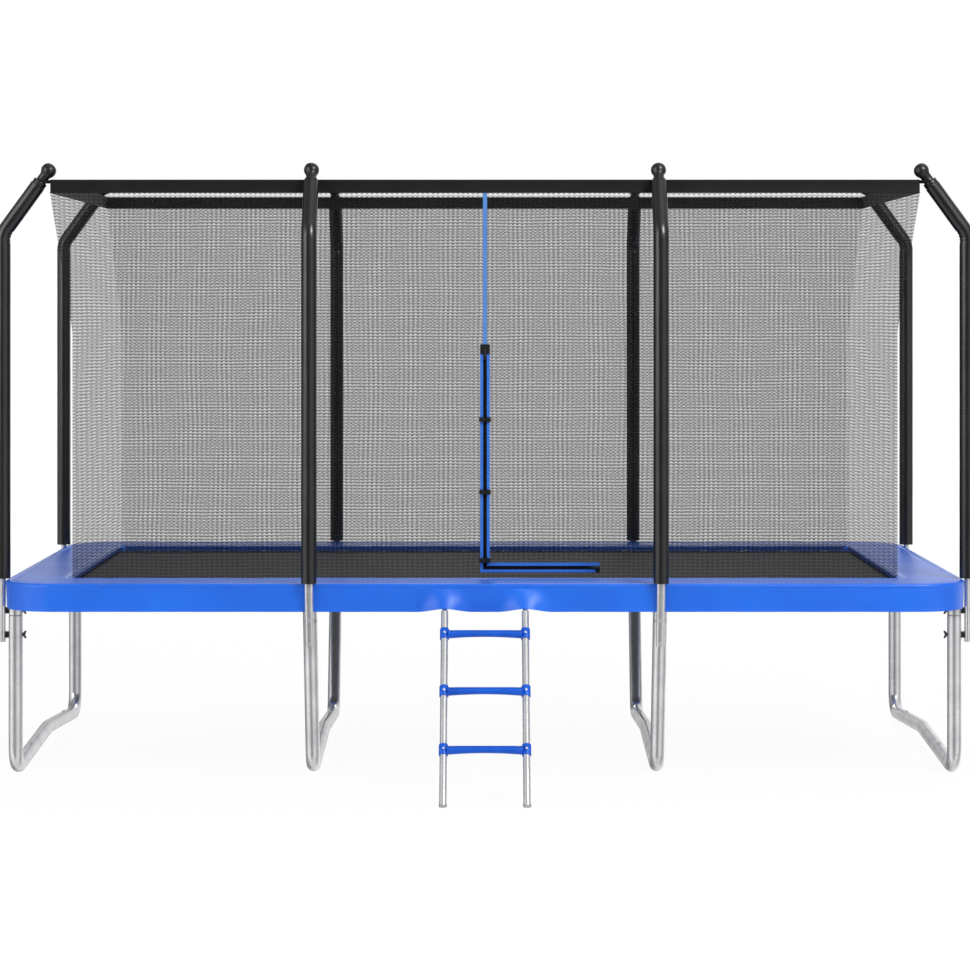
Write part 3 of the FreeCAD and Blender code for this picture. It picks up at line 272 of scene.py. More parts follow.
galvanised = makeGalvanised("galvanisedTube", (0.77, 0.77, 0.78), (0.63, 0.63, 0.64), 0.2)
zincPlate = makeGalvanised("zincFastener", (0.9, 0.9, 0.91), (0.74, 0.74, 0.75), 0.22)
blackPlastic = makeMoulded("blackMoulding", (24, 24, 26), (14, 14, 16), 0.32)
greyPlastic = makeMoulded("greyMoulding", (66, 66, 70), (48, 48, 52), 0.38)
greyRubber = makeMoulded("greyRubber", (158, 158, 160), (134, 134, 136), 0.6)
bluePlastic = makeMoulded("blueMoulding", (6, 88, 204), (4, 76, 184), 0.36, scale=14.0, gloss=0.35)
foamSheath = makeMoulded("foamSheath", (20, 20, 21), (11, 11, 12), 0.3, scale=9.0, coat=0.25, depth=0.0005)
blueCover = makeCloth("blueCover", (10, 104, 224), (6, 92, 210), 0.3, (420.0, 420.0), 0.0002, gloss=0.4,
                      scale=2.5, coat=0.2)
matWeave = makeCloth("matWeave", (26, 26, 27), (17, 17, 18), 0.6, (160.0, 66.0), 0.0006, scale=3.0)
bandWeave = makeCloth("bandWeave", (18, 18, 19), (11, 11, 12), 0.6, (260.0, 420.0), 0.0003, gloss=0.2,
                      scale=8.0)
tapeWeave = makeCloth("tapeWeave", (48, 110, 202), (40, 100, 190), 0.5, (380.0, 380.0), 0.0003)
seamWeave = makeCloth("seamWeave", (82, 130, 196), (72, 120, 186), 0.55, (380.0, 380.0), 0.0003)
trackWeave = makeCloth("trackWeave", (7, 8, 16), (4, 4, 9), 0.6, (90.0, 420.0), 0.0006, gloss=0.1)
zipBlack = makeMoulded("zipTeethBlack", (10, 11, 18), (5, 6, 10), 0.55, gloss=0.15)
blueThread = makeMoulded("blueThread", (110, 160, 246), (80, 135, 238), 0.6)
blackThread = makeMoulded("blackThread", (52, 52, 55), (36, 36, 39), 0.6)
frontNet = makeNet("frontNet", 0.38, 0.19)
rearNet = makeNet("rearNet", 0.46, 0.21)
endNet = makeNet("endNet", 0.35, 0.22)
print("materials made")


# Mesh parts
def bentPath(corners, radii, step=6.0):
    points = [corners[0].copy()]
    for before, corner, after, radius in zip(corners, corners[1:], corners[2:], radii):
        inward = (corner - before).normalized()
        onward = (after - corner).normalized()
        turn = inward.angle(onward)
        axis = inward.cross(onward).normalized()
        start = corner - inward * (radius * math.tan(turn / 2))
        centre = start + axis.cross(inward) * radius
        count = max(2, math.ceil(math.degrees(turn) / step))
        for index in range(count + 1):
            spin = Matrix.Rotation(turn * index / count, 3, axis)
            points.append(centre + spin @ (start - centre))
    points.append(corners[-1].copy())
    return points


def resample(points, spacing):
    result = [points[0]]
    for before, after in zip(points, points[1:]):
        count = max(1, round((after - before).length / spacing))
        result += [before.lerp(after, i / count) for i in range(1, count + 1)]
    return result


def mirrorPoint(point, signX, signY):
    return Vector((point.x * signX, point.y * signY, point.z))


# Angles that share a full turn evenly
def turns(count, shift=0.0):
    return [2 * math.pi * (i + shift) / count for i in range(count)]


def spokes(across, other, count):
    return [across * math.cos(angle) + other * math.sin(angle) for angle in turns(count)]


# An outline is a function that gives its points at a shrink towards its middle
def circle(radius, sides=32):
    def outline(shrink):
        return [((radius - shrink) * math.cos(a), (radius - shrink) * math.sin(a)) for a in turns(sides)]
    return outline


# A flat oval: width across the side direction, depth along the other
def flatOval(width, depth, sides=32):
    def outline(shrink):
        size = depth / 2 - shrink
        reach = (width - depth) / 2
        return [(size * math.cos(angle) + math.copysign(reach, math.cos(angle)), size * math.sin(angle))
                for angle in turns(sides, 0.5)]
    return outline


def roundedRectangle(width, height, radius, steps=5):
    points = []
    for index, (signX, signY) in enumerate(cornerSigns):
        for i in range(steps + 1):
            angle = math.pi / 2 * (index + i / steps)
            points.append((signX * (width / 2 - radius) + radius * math.cos(angle),
                           signY * (height / 2 - radius) + radius * math.sin(angle)))
    return points


# Skins rings of points, shut into a loop or capped at both ends where asked
def bridge(mesh, rings, closed=False, capped=False):
    pairs = list(zip(rings, rings[1:]))
    if closed:
        pairs.append((rings[-1], rings[0]))
    for low, high in pairs:
        count = len(low)
        for i in range(count):
            j = (i + 1) % count
            mesh.faces.new((low[i], low[j], high[j], high[i]))
    if capped:
        mesh.faces.new(rings[0][::-1])
        mesh.faces.new(rings[-1])


# Sweeps an outline along a path. An open end shows the tube's wall, a shut end is rounded a little
def sweep(mesh, path, outline, side, ends=("open", "open"), wall=0.0018, depth=0.03, soft=0.0006):
    headings = []
    for index, point in enumerate(path):
        onward = path[min(index + 1, len(path) - 1)] - path[max(index - 1, 0)]
        headings.append(onward.normalized())
    stations = [(point, heading, 0.0) for point, heading in zip(path, headings)]
    for last, kind in ((False, ends[0]), (True, ends[1])):
        point, heading, _ = stations[-1 if last else 0]
        inward = heading * (-1 if last else 1)
        extra = [(point + inward * soft, heading, 0.0), (point, heading, soft)]
        if kind == "open":
            extra += [(point, heading, wall), (point + inward * depth, heading, wall)]
        if last:
            stations = stations[:-1] + extra
        else:
            stations = extra[::-1] + stations[1:]
    rings = []
    for point, heading, shrink in stations:
        across = (side - heading * side.dot(heading)).normalized()
        other = heading.cross(across)
        rings.append([mesh.verts.new(point + across * a + other * b) for a, b in outline(shrink)])
    bridge(mesh, rings, capped=True)
    return rings


def sweepShut(mesh, path, outline, side, soft=0.0006):
    sweep(mesh, path, outline, side, ends=("shut", "shut"), soft=soft)


# A closed ring of thin rod, such as a weld bead
def ringRod(mesh, points, radius):
    rings = []
    count = len(points)
    middle = sum(points, Vector()) / count
    for index, point in enumerate(points):
        heading = (points[(index + 1) % count] - points[index - 1]).normalized()
        outward = point - middle
        outward = (outward - heading * outward.dot(heading)).normalized()
        rings.append([mesh.verts.new(point + spoke * radius)
                      for spoke in spokes(outward, heading.cross(outward), 8)])
    bridge(mesh, rings, closed=True)


# Turns a profile of radius and height pairs round an axis
def revolve(mesh, profile, place, axis, sides=40):
    axis = axis.normalized()
    across = axis.orthogonal().normalized()
    rings = []
    for radius, height in profile:
        rings.append([mesh.verts.new(place + axis * height + spoke * radius)
                      for spoke in spokes(across, axis.cross(across), sides)])
    bridge(mesh, rings, capped=True)


# A solid from level outlines stacked along an axis
def stackOutline(mesh, place, across, along, axis, layers):
    rings = []
    for height, points in layers:
        rings.append([mesh.verts.new(place + axis * height + across * u + along * v) for u, v in points])
    bridge(mesh, rings, capped=True)


def attach(piece, body, nodes=()):
    if body:
        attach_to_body(piece, body)
    if nodes:
        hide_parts(*nodes)


def makePiece(name, mesh, material, body, nodes=(), sharp=38):
    data = bpy.data.meshes.new(name)
    bmesh.ops.recalc_face_normals(mesh, faces=mesh.faces)
    mesh.to_mesh(data)
    mesh.free()
    data.shade_smooth()
    data.set_sharp_from_angle(angle=math.radians(sharp))
    data.materials.append(material)
    piece = bpy.data.objects.new(name, data)
    bpy.context.collection.objects.link(piece)
    attach(piece, body, nodes)
    return piece


# Turns a piece's live modifiers into plain mesh
def settle(piece, sharp):
    bpy.context.view_layer.update()
    graph = bpy.context.evaluated_depsgraph_get()
    data = bpy.data.meshes.new_from_object(piece.evaluated_get(graph))
    piece.modifiers.clear()
    old = piece.data
    piece.data = data
    bpy.data.meshes.remove(old)
    piece.data.set_sharp_from_angle(angle=math.radians(sharp))


def thicken(piece, thickness):
    shell = piece.modifiers.new("thickness", "SOLIDIFY")
    shell.thickness = thickness
    shell.offset = 0.0
    shell.use_even_offset = True
    settle(piece, 40)


# A grid of points as cloth, with its flat pattern in metres
def clothGrid(mesh, rows, pattern):
    layer = mesh.loops.layers.uv.get("cloth") or mesh.loops.layers.uv.new("cloth")
    verts = [[mesh.verts.new(point) for point in row] for row in rows]
    for r in range(len(rows) - 1):
        for c in range(len(rows[0]) - 1):
            places = ((r, c), (r, c + 1), (r + 1, c + 1), (r + 1, c))
            face = mesh.faces.new([verts[a][b] for a, b in places])
            for loop, (a, b) in zip(face.loops, places):
                loop[layer].uv = pattern[a][b]


# The flat pattern of a closed skin, taken from each corner's place
def mapCloth(mesh, spot):
    layer = mesh.loops.layers.uv.new("cloth")
    for face in mesh.faces:
        for loop in face.loops:
            loop[layer].uv = spot(loop.vert.co)


# Frame: rails with their sockets, and the legs
frameSizes = {
    "railX": 2.105, "railY": 1.19, "railLevel": 0.83, "railRadius": 0.03, "cornerRadius": 0.2,
    "railDepth": 0.02,
    "middleHalf": 1.0, "jointGap": 0.0004, "socketSlit": 0.0026, "socketDrop": 0.11, "railSpigot": 0.0282,
    "spigotBack": 0.03, "spigotAhead": 0.04, "legSpigotSlim": 0.0023, "legRadius": 0.03175, "legWall": 0.002,
    "endLegY": 0.98, "middleLegX": 0.7745, "middleLean": 18.0, "legBend": 0.1, "baseHalf": 0.5,
    "baseRise": 3.3,
    "endKink": 0.083671, "middleKink": 0.082552, "kinkBend": 0.5, "beadRadius": 0.0032, "beadLift": 0.001,
}
f = frameSizes
lean = math.radians(f["middleLean"])
rise = math.radians(f["baseRise"])
legKinds = {
    "end": (f["railX"], f["endLegY"], 0.0, f["endKink"]),
    "middle": (f["middleLegX"], f["railY"], lean, f["middleKink"]),
}


def makeTubes(name, mesh, node):
    makePiece(name, mesh, galvanised, frameBody, [node])


def legDown(tilt):
    return Vector((0, -math.sin(tilt), -math.cos(tilt)))


# A point on the axis of a leg's post at a level
def postPoint(x, y, tilt, level):
    return Vector((x, y - (f["railLevel"] - level) * math.tan(tilt), level))


# Socket under a rail, with the weld bead where it meets the rail
def addSocket(mesh, top, tilt, railAlong):
    down = mirrorPoint(legDown(tilt), 1, 1 if top.y > 0 else -1)
    end = top + down * (f["socketDrop"] / math.cos(tilt))
    sweep(mesh, [top, end], circle(f["legRadius"]), right, ends=("shut", "open"), wall=f["legWall"])
    bead = []
    across = railAlong.cross(up)
    for spoke in spokes(railAlong, across, 36):
        reach = spoke * f["legRadius"]
        away = min(abs(reach.dot(across)), f["railRadius"])
        fall = math.sqrt(f["railRadius"] ** 2 - away ** 2) + f["beadLift"]
        bead.append(top + reach + down * (fall / math.cos(tilt)))
    ringRod(mesh, bead, f["beadRadius"])


def makeRails():
    corners = [
        Vector((f["middleHalf"] + f["jointGap"], f["railY"], f["railLevel"])),
        Vector((f["railX"], f["railY"], f["railLevel"])),
        Vector((f["railX"], f["jointGap"], f["railLevel"])),
    ]
    spigot = circle(f["railSpigot"], 24)
    for name, signX in (("right", 1), ("left", -1)):
        mesh = bmesh.new()
        for signY in (1, -1):
            path = [mirrorPoint(q, signX, signY) for q in bentPath(corners, [f["cornerRadius"]], 5.0)]
            sweep(mesh, path, circle(f["railRadius"]), up, depth=f["railDepth"])
            for end, along in ((path[0], right), (path[-1], rear)):
                sweepShut(mesh, [end - along * f["spigotBack"], end + along * f["spigotBack"]], spigot, up)
            addSocket(mesh, Vector((signX * f["railX"], signY * f["endLegY"], f["railLevel"])), 0.0, rear)
        makeTubes(f"endRails{name.title()}", mesh, f"end_rails_{name}")
    for name, signY in (("rear", 1), ("front", -1)):
        mesh = bmesh.new()
        ends = [Vector((x * f["middleHalf"], signY * f["railY"], f["railLevel"])) for x in (-1, 1)]
        sweep(mesh, ends, circle(f["railRadius"]), up, depth=f["railDepth"])
        for side in (-1, 1):
            top = Vector((side * f["middleLegX"], signY * f["railY"], f["railLevel"]))
            addSocket(mesh, top, lean, right)
        makeTubes(f"middleRail{name.title()}", mesh, f"middle_rail_{name}")


def makeLegs():
    tube = circle(f["legRadius"])
    spigot = circle(f["legRadius"] - f["legSpigotSlim"], 24)
    for kind, (x, y, tilt, kink) in legKinds.items():
        start = postPoint(x, y, tilt, f["railLevel"] - f["socketDrop"] - f["socketSlit"])
        axisFoot = y - math.tan(tilt) * f["railLevel"]
        cornerLevel = (kink - math.tan(rise) * axisFoot) / (1 + math.tan(rise) * math.tan(tilt))
        end = Vector((x, f["baseHalf"], kink - math.tan(rise) * f["baseHalf"]))
        post = bentPath([start, postPoint(x, y, tilt, cornerLevel), end], [f["legBend"]], 5.0)
        for name, signX in (("right", 1), ("left", -1)):
            mesh = bmesh.new()
            for signY in (1, -1):
                path = [mirrorPoint(q, signX, signY) for q in post]
                sweep(mesh, path, tube, right, wall=f["legWall"])
                along = (path[-1] - path[-2]).normalized()
                plug = [path[-1] - along * f["spigotBack"], path[-1] + along * f["spigotAhead"]]
                sweepShut(mesh, plug, spigot, right)
            makeTubes(f"{kind}LegPosts{name.title()}", mesh, f"{kind}_leg_posts_{name}")
        mesh = bmesh.new()
        half = f["baseHalf"] - f["jointGap"]
        for signX in (1, -1):
            line = [Vector((x * signX, side * half, kink - math.tan(rise) * half)) for side in (1, -1)]
            line.insert(1, Vector((x * signX, 0, kink)))
            sweep(mesh, bentPath(line, [f["kinkBend"]], 1.5), tube, right, wall=f["legWall"])
        makeTubes(f"{kind}LegBases", mesh, f"{kind}_leg_bases")


makeRails()
makeLegs()
print("frame tubes made")


# Net poles, their foam sleeves and caps
poleSizes = {
    "width": 0.038, "depth": 0.025, "wall": 0.0014, "gap": 0.05825, "setback": 0.06, "footLevel": 0.6,
    "jointLevel": 1.6, "bendLevel": 2.43, "bend": 0.11, "ankleBend": 0.06, "lean": 36.0, "tipLength": 0.309,
    "foamRadius": 0.0345, "foamFoot": 0.885, "foamSeam": 1.646, "foamGap": 0.0006, "foamStep": 0.012,
    "foamSides": 36, "foamSkin": 0.0003, "pucker": 0.004, "wobble": 0.00045,
    "foamRoll": ((0.0016, 0.0), (0.006, -0.0008), (0.0165, -0.0008)), "capOverlap": 0.04,
    "collar": 0.032, "collarHeight": 0.022, "collarEdge": 0.004, "neck": 0.0235, "neckHeight": 0.034,
    "ball": 0.034, "ballSteps": 18, "rim": 0.002,
}
p = poleSizes
tipLean = math.radians(p["lean"])
poleKinds = {
    "corner": {"inward": -right, "along": rear, "foot": Vector((f["railX"] + p["gap"], f["endLegY"], 0))},
    "side": {"inward": -rear, "along": right,
             "foot": Vector((f["middleLegX"], f["railY"] + p["setback"], 0))},
}
for kind in poleKinds.values():
    kind["knee"] = kind["foot"] + up * p["bendLevel"]
    kind["tipDirection"] = kind["inward"] * math.sin(tipLean) + up * math.cos(tipLean)
    kind["tip"] = kind["knee"] + kind["tipDirection"] * p["tipLength"]


def lowerPolePath(name):
    pole = poleKinds[name]
    top = pole["foot"] + up * p["jointLevel"]
    if name == "corner":
        return [top, pole["foot"] + up * p["footLevel"]]
    ankleLevel = f["railLevel"] + (p["setback"] - p["gap"] / math.cos(lean)) / math.tan(lean)
    ankle = pole["foot"] + up * ankleLevel
    foot = ankle + legDown(lean) * ((ankleLevel - p["footLevel"]) / math.cos(lean))
    return bentPath([top, ankle, foot], [p["ankleBend"]], 4.0)


def makePoles():
    outline = flatOval(p["width"], p["depth"])
    for name, pole in poleKinds.items():
        for place, signs in quarterSigns.items():
            mesh = bmesh.new()
            path = [mirrorPoint(point, *signs) for point in lowerPolePath(name)]
            sweep(mesh, path, outline, pole["along"], wall=p["wall"])
            makeTubes(f"{name}PoleLower_{place}", mesh, f"lower_{name}_pole_{place}")
        mesh = bmesh.new()
        corners = [pole["foot"] + up * (p["jointLevel"] + f["jointGap"]), pole["knee"], pole["tip"]]
        path = bentPath(corners, [p["bend"]], 5.0)
        for signs in quarterSigns.values():
            mirrored = [mirrorPoint(point, *signs) for point in path]
            sweep(mesh, mirrored, outline, pole["along"], wall=p["wall"])
        makeTubes(f"{name}PolesUpper", mesh, f"upper_{name}_poles")


# Foam sleeve with rolled ends; the sheath puckers a little inside the bend
def addFoam(mesh, path, signs, side, seed):
    radius = p["foamRadius"]
    points = resample([mirrorPoint(point, *signs) for point in path], p["foamStep"])
    last = len(points) - 1
    rings = []
    for index, point in enumerate(points):
        heading = (points[min(index + 1, last)] - points[max(index - 1, 0)]).normalized()
        across = (side - heading * side.dot(heading)).normalized()
        curl = Vector()
        if 2 <= index < last - 1:
            curl = (points[index + 2] - point).normalized() - (point - points[index - 2]).normalized()
        fold = p["pucker"] * (1 + math.sin(index * 2.1 + seed))
        ring = []
        for i, spoke in enumerate(spokes(across, heading.cross(across), p["foamSides"])):
            pucker = max(0.0, spoke.dot(curl)) * fold
            place = Vector((point.x * 9 + i * 0.35, point.y * 9 + seed, point.z * 9))
            wobble = p["wobble"] * noise.noise(place)
            ring.append(mesh.verts.new(point + spoke * (radius - pucker * 4 + wobble - p["foamSkin"])))
        rings.append(ring)
    bridge(mesh, rings)
    for ring, heading in ((rings[0], points[0] - points[1]), (rings[-1], points[-1] - points[-2])):
        heading.normalize()
        centre = sum((v.co for v in ring), Vector()) / p["foamSides"]
        roll = [ring]
        for shrink, push in p["foamRoll"]:
            size = 1 - shrink / radius
            roll.append([mesh.verts.new(centre + (v.co - centre) * size + heading * push) for v in ring])
        bridge(mesh, roll)
        mesh.faces.new(roll[-1])


def makeFoam():
    lower = bmesh.new()
    upper = bmesh.new()
    for pole in poleKinds.values():
        foot = pole["foot"] + up * p["foamFoot"]
        seam = pole["foot"] + up * p["foamSeam"]
        end = pole["knee"] + pole["tipDirection"] * (p["tipLength"] - p["capOverlap"] - p["foamSkin"])
        bend = bentPath([seam + up * p["foamGap"], pole["knee"], end], [p["bend"]], 4.0)
        for seed, signs in enumerate(quarterSigns.values()):
            addFoam(lower, [foot, seam], signs, pole["along"], seed)
            addFoam(upper, bend, signs, pole["along"], seed + 7)
    for label, mesh in (("Lower", lower), ("Upper", upper)):
        node = f"foam_sleeves_{label.lower()}"
        piece = makePiece(f"foamSleeves{label}", mesh, foamSheath, frameBody, [node], sharp=60)


def makeCaps():
    mesh = bmesh.new()
    collar, height, edge, neck = p["collar"], p["collarHeight"], p["collarEdge"], p["neck"]
    neckTop = height + p["neckHeight"]
    ballCentre = neckTop + math.sqrt(p["ball"] ** 2 - neck ** 2)
    profile = [(collar - p["rim"], 0.0), (collar, p["rim"]), (collar, height - edge)]
    for i in range(1, 5):
        angle = math.pi / 2 * i / 4
        profile.append((collar - edge * (1 - math.cos(angle)), height - edge + edge * math.sin(angle)))
    profile += [(neck + 0.003, height), (neck + 0.0008, height + 0.0012)]
    profile += [(neck, height + edge), (neck, neckTop - edge)]
    first = -math.acos(neck / p["ball"])
    for i in range(1, p["ballSteps"]):
        angle = first + (math.pi / 2 - first) * i / p["ballSteps"]
        profile.append((p["ball"] * math.cos(angle), ballCentre + p["ball"] * math.sin(angle)))
    for pole in poleKinds.values():
        seat = pole["tip"] - pole["tipDirection"] * p["capOverlap"]
        for signs in quarterSigns.values():
            revolve(mesh, profile, mirrorPoint(seat, *signs), mirrorPoint(pole["tipDirection"], *signs))
    makePiece("poleCaps", mesh, blackPlastic, frameBody, ["pole_caps"])


makePoles()
makeFoam()
makeCaps()
print("poles made")


# Node trees for what repeats
def newTree(name, *labels):
    tree = bpy.data.node_groups.new(name, "GeometryNodeTree")
    tree.is_modifier = True
    for way in ("INPUT", "OUTPUT"):
        tree.interface.new_socket("Geometry", in_out=way, socket_type="NodeSocketGeometry")
    for label in labels:
        tree.interface.new_socket(label, in_out="INPUT", socket_type="NodeSocketFloat")
    tree.interface.new_socket("Material", in_out="INPUT", socket_type="NodeSocketMaterial")
    given = addNode(tree, "NodeGroupInput")
    return tree, given.outputs, addNode(tree, "NodeGroupOutput")


def joinParts(tree, parts):
    join = tree.nodes.new("GeometryNodeJoinGeometry")
    for part in parts:
        tree.links.new(part, join.inputs[0])
    return join.outputs[0]


def placed(tree, part, place, **others):
    inputs = {"Geometry": part, "Translation": place, **others}
    return addNode(tree, "GeometryNodeTransform", inputs).outputs[0]


def combined(tree, **parts):
    inputs = {"XYZ".index(axis.upper()): value for axis, value in parts.items()}
    return addNode(tree, "ShaderNodeCombineXYZ", inputs).outputs[0]


def aligned(tree, vector, axis):
    return addNode(tree, "FunctionNodeAlignRotationToVector", {"Vector": vector}, axis=axis).outputs[0]


def aimed(tree):
    aim = addNode(tree, "GeometryNodeInputNamedAttribute", {"Name": "aim"}, data_type="FLOAT_VECTOR")
    return aligned(tree, aim.outputs[0], "Z")


# Copies of a part stand on points, turned as given
def finishTree(tree, given, result, points, part, rotation):
    copies = addNode(tree, "GeometryNodeInstanceOnPoints", {
        "Points": points, "Instance": part, "Rotation": rotation})
    real = addNode(tree, "GeometryNodeRealizeInstances", {"Geometry": copies.outputs[0]})
    dressed = addNode(tree, "GeometryNodeSetMaterial", {
        "Geometry": real.outputs[0], "Material": given["Material"]})
    tree.links.new(dressed.outputs[0], result.inputs[0])


def makeSpringTree():
    tree, given, result = newTree(
        "extensionSpring", "Coil Radius", "Wire Radius", "Turns", "Coil Length", "Hook Length", "Eye Radius",
        "Eye Lift")
    coil = addNode(tree, "GeometryNodeCurveSpiral", {
        "Resolution": 14, "Rotations": given["Turns"], "Start Radius": given["Coil Radius"],
        "End Radius": given["Coil Radius"], "Height": given["Coil Length"]})
    hookPlace = combined(tree, z=given["Hook Length"])
    wires = [placed(tree, coil.outputs[0], hookPlace)]
    total = maths(tree, "MULTIPLY_ADD", given["Hook Length"], 2.0, given["Coil Length"])
    for farEnd in (False, True):
        foot = maths(tree, "SUBTRACT", total, given["Hook Length"]) if farEnd else given["Hook Length"]
        eye = maths(tree, "SUBTRACT", total, given["Eye Lift"]) if farEnd else given["Eye Lift"]
        tip = combined(tree, z=eye)
        shoulder = combined(tree, x=given["Coil Radius"], z=foot)
        arm = addNode(tree, "GeometryNodeCurvePrimitiveLine", {"Start": shoulder, "End": tip})
        ring = addNode(tree, "GeometryNodeCurvePrimitiveCircle", {
            "Resolution": 12, "Radius": given["Eye Radius"]})
        wires += [arm.outputs[0], placed(tree, ring.outputs[0], tip, Rotation=(math.pi / 2, 0.0, 0.0))]
    section = addNode(tree, "GeometryNodeCurvePrimitiveCircle", {
        "Resolution": 6, "Radius": given["Wire Radius"]})
    wire = addNode(tree, "GeometryNodeCurveToMesh", {
        "Curve": joinParts(tree, wires), "Profile Curve": section.outputs[0]})
    finishTree(tree, given, result, given[0], wire.outputs[0], aimed(tree))
    return tree


# Short dashes of thread, or zip teeth, spaced along a line
def makeRowTree():
    tree, given, result = newTree("spacedRow", "Pitch", "Length", "Width", "Height")
    line = addNode(tree, "GeometryNodeMeshToCurve", {"Mesh": given[0]})
    spots = addNode(tree, "GeometryNodeCurveToPoints", {
        "Curve": line.outputs[0], "Length": given["Pitch"]}, mode="LENGTH")
    bead = addNode(tree, "GeometryNodeMeshUVSphere", {"Segments": 8, "Rings": 5, "Radius": 0.5})
    scale = combined(tree, x=given["Length"], y=given["Width"], z=given["Height"])
    dash = addNode(tree, "GeometryNodeTransform", {"Geometry": bead.outputs[0], "Scale": scale})
    turn = aligned(tree, spots.outputs["Tangent"], "X")
    finishTree(tree, given, result, spots.outputs[0], dash.outputs[0], turn)
    return tree


# Hexagon-head screws standing on points: head, washer, raised top and shank
def makeScrewTree():
    tree, given, result = newTree("hexScrews", "Head Radius", "Head Height", "Shank Radius", "Shank Length")
    parts = []
    shapes = (
        (6, given["Head Radius"], given["Head Height"], 0.5),
        (24, maths(tree, "MULTIPLY", given["Head Radius"], 1.12), 0.0012, 0.5),
        (6, maths(tree, "MULTIPLY", given["Head Radius"], 0.72),
         maths(tree, "MULTIPLY", given["Head Height"], 1.12), 0.5),
        (20, given["Shank Radius"], given["Shank Length"], -0.5),
    )
    for sides, radius, height, lift in shapes:
        barrel = addNode(tree, "GeometryNodeMeshCylinder", {
            "Vertices": sides, "Radius": radius, "Depth": height})
        level = maths(tree, "MULTIPLY", height, lift)
        parts.append(placed(tree, barrel.outputs[0], combined(tree, z=level)))
    turn = aimed(tree)
    finishTree(tree, given, result, given[0], joinParts(tree, parts), turn)
    return tree


def growTree(name, tree, points, edges, aims, **settings):
    data = bpy.data.meshes.new(name)
    data.from_pydata(points, edges, [])
    if aims:
        layer = data.attributes.new("aim", "FLOAT_VECTOR", "POINT")
        for item, aim in zip(layer.data, aims):
            item.vector = aim
    piece = bpy.data.objects.new(name, data)
    bpy.context.collection.objects.link(piece)
    modifier = piece.modifiers.new("pattern", "NODES")
    modifier.node_group = tree
    for socket in tree.interface.items_tree:
        label = socket.name.replace(" ", "_")
        if socket.in_out == "INPUT" and label in settings:
            modifier[socket.identifier] = settings[label]
    settle(piece, 35)
    piece.data.shade_smooth()
    piece.data.set_sharp_from_angle(angle=math.radians(35))
    return piece


springTree = makeSpringTree()
rowTree = makeRowTree()
screwTree = makeScrewTree()


# A row of stitches along lines of points
def stitches(name, lines, body, material, pitch=0.009, length=0.0055, width=0.0012, height=0.0009):
    points = []
    edges = []
    for line in lines:
        first = len(points)
        points += line
        edges += [(first + i, first + i + 1) for i in range(len(line) - 1)]
    piece = growTree(name, rowTree, points, edges, None, Pitch=pitch, Length=length, Width=width,
                     Height=height, Material=material)
    attach(piece, body)
    return piece


# Screws at pairs of seat and aim
def makeScrews(name, node, body, spots, head, shankLength):
    radius, height, shank = head
    piece = growTree(name, screwTree, [seat for seat, _ in spots], [], [aim for _, aim in spots],
                     Head_Radius=radius, Head_Height=height, Shank_Radius=shank, Shank_Length=shankLength,
                     Material=zincPlate)
    attach(piece, body, [node])


# Fasteners of the poles and legs
fastenerSizes = {
    "levels": (0.632, 0.741), "spacerWidth": 0.028, "spacerLength": 0.014, "spacerCorner": 0.004,
    "spacerEnds": ((0.0, 0.97), (0.12, 1), (0.88, 1), (1.0, 0.97)), "seatGap": 0.0002,
    "head": (0.009, 0.005, 0.004), "boltTail": 0.009, "legBoltReach": 0.545, "legBoltShank": 0.035,
    "nutSpan": 0.036, "nutHub": ((0.0085, 0.0), (0.0085, 0.002), (0.007, 0.004), (0.0062, 0.010),
                                 (0.0055, 0.0115), (0.001, 0.0118)),
    "wingSlope": (0.0055, 0.0075), "wingRoot": 0.003, "wingGap": 0.0035, "wingRound": 0.45,
    "wing": ((0.0, 0.011, 0.0045), (0.35, 0.0125, 0.004), (0.75, 0.0105, 0.0034), (0.93, 0.007, 0.0028),
             (1.0, 0.003, 0.0018)),
}
b = fastenerSizes
poleOut = {"end": right, "middle": Vector((0, math.cos(lean), -math.sin(lean)))}


def boltSpots():
    spots = []
    for kind, (x, y, tilt, _) in legKinds.items():
        for level in b["levels"]:
            post = postPoint(x, y, tilt, level)
            spots += [(mirrorPoint(post, *signs), mirrorPoint(poleOut[kind], *signs))
                      for signs in quarterSigns.values()]
    return spots


def makeBolts():
    reach = f["legRadius"] + b["spacerLength"] + p["depth"]
    spots = [(post + out * reach, out) for post, out in boltSpots()]
    makeScrews("poleBolts", "pole_bolts", frameBody, spots, b["head"], reach + f["legRadius"] + b["boltTail"])
    rising = Vector((0, math.sin(rise), math.cos(rise)))
    spots = []
    for x, _, _, kink in legKinds.values():
        seat = Vector((x, b["legBoltReach"], kink - math.tan(rise) * b["legBoltReach"]))
        seat += rising * f["legRadius"]
        spots += [(mirrorPoint(seat, *signs), mirrorPoint(rising, *signs)) for signs in quarterSigns.values()]
    makeScrews("legBolts", "leg_bolts", frameBody, spots, b["head"], b["legBoltShank"])


def addSpacer(mesh, post, out, along, lift):
    rings = []
    for share, pinch in b["spacerEnds"]:
        ring = []
        for u, v in roundedRectangle(b["spacerWidth"], b["spacerWidth"], b["spacerCorner"]):
            hollow = math.sqrt(f["legRadius"] ** 2 - u ** 2)
            depth = f["legRadius"] + b["spacerLength"] - b["seatGap"]
            reach = hollow + b["seatGap"] + (depth - hollow) * share
            ring.append(mesh.verts.new(post + out * reach + along * (u * pinch) + lift * (v * pinch)))
        rings.append(ring)
    bridge(mesh, rings, capped=True)


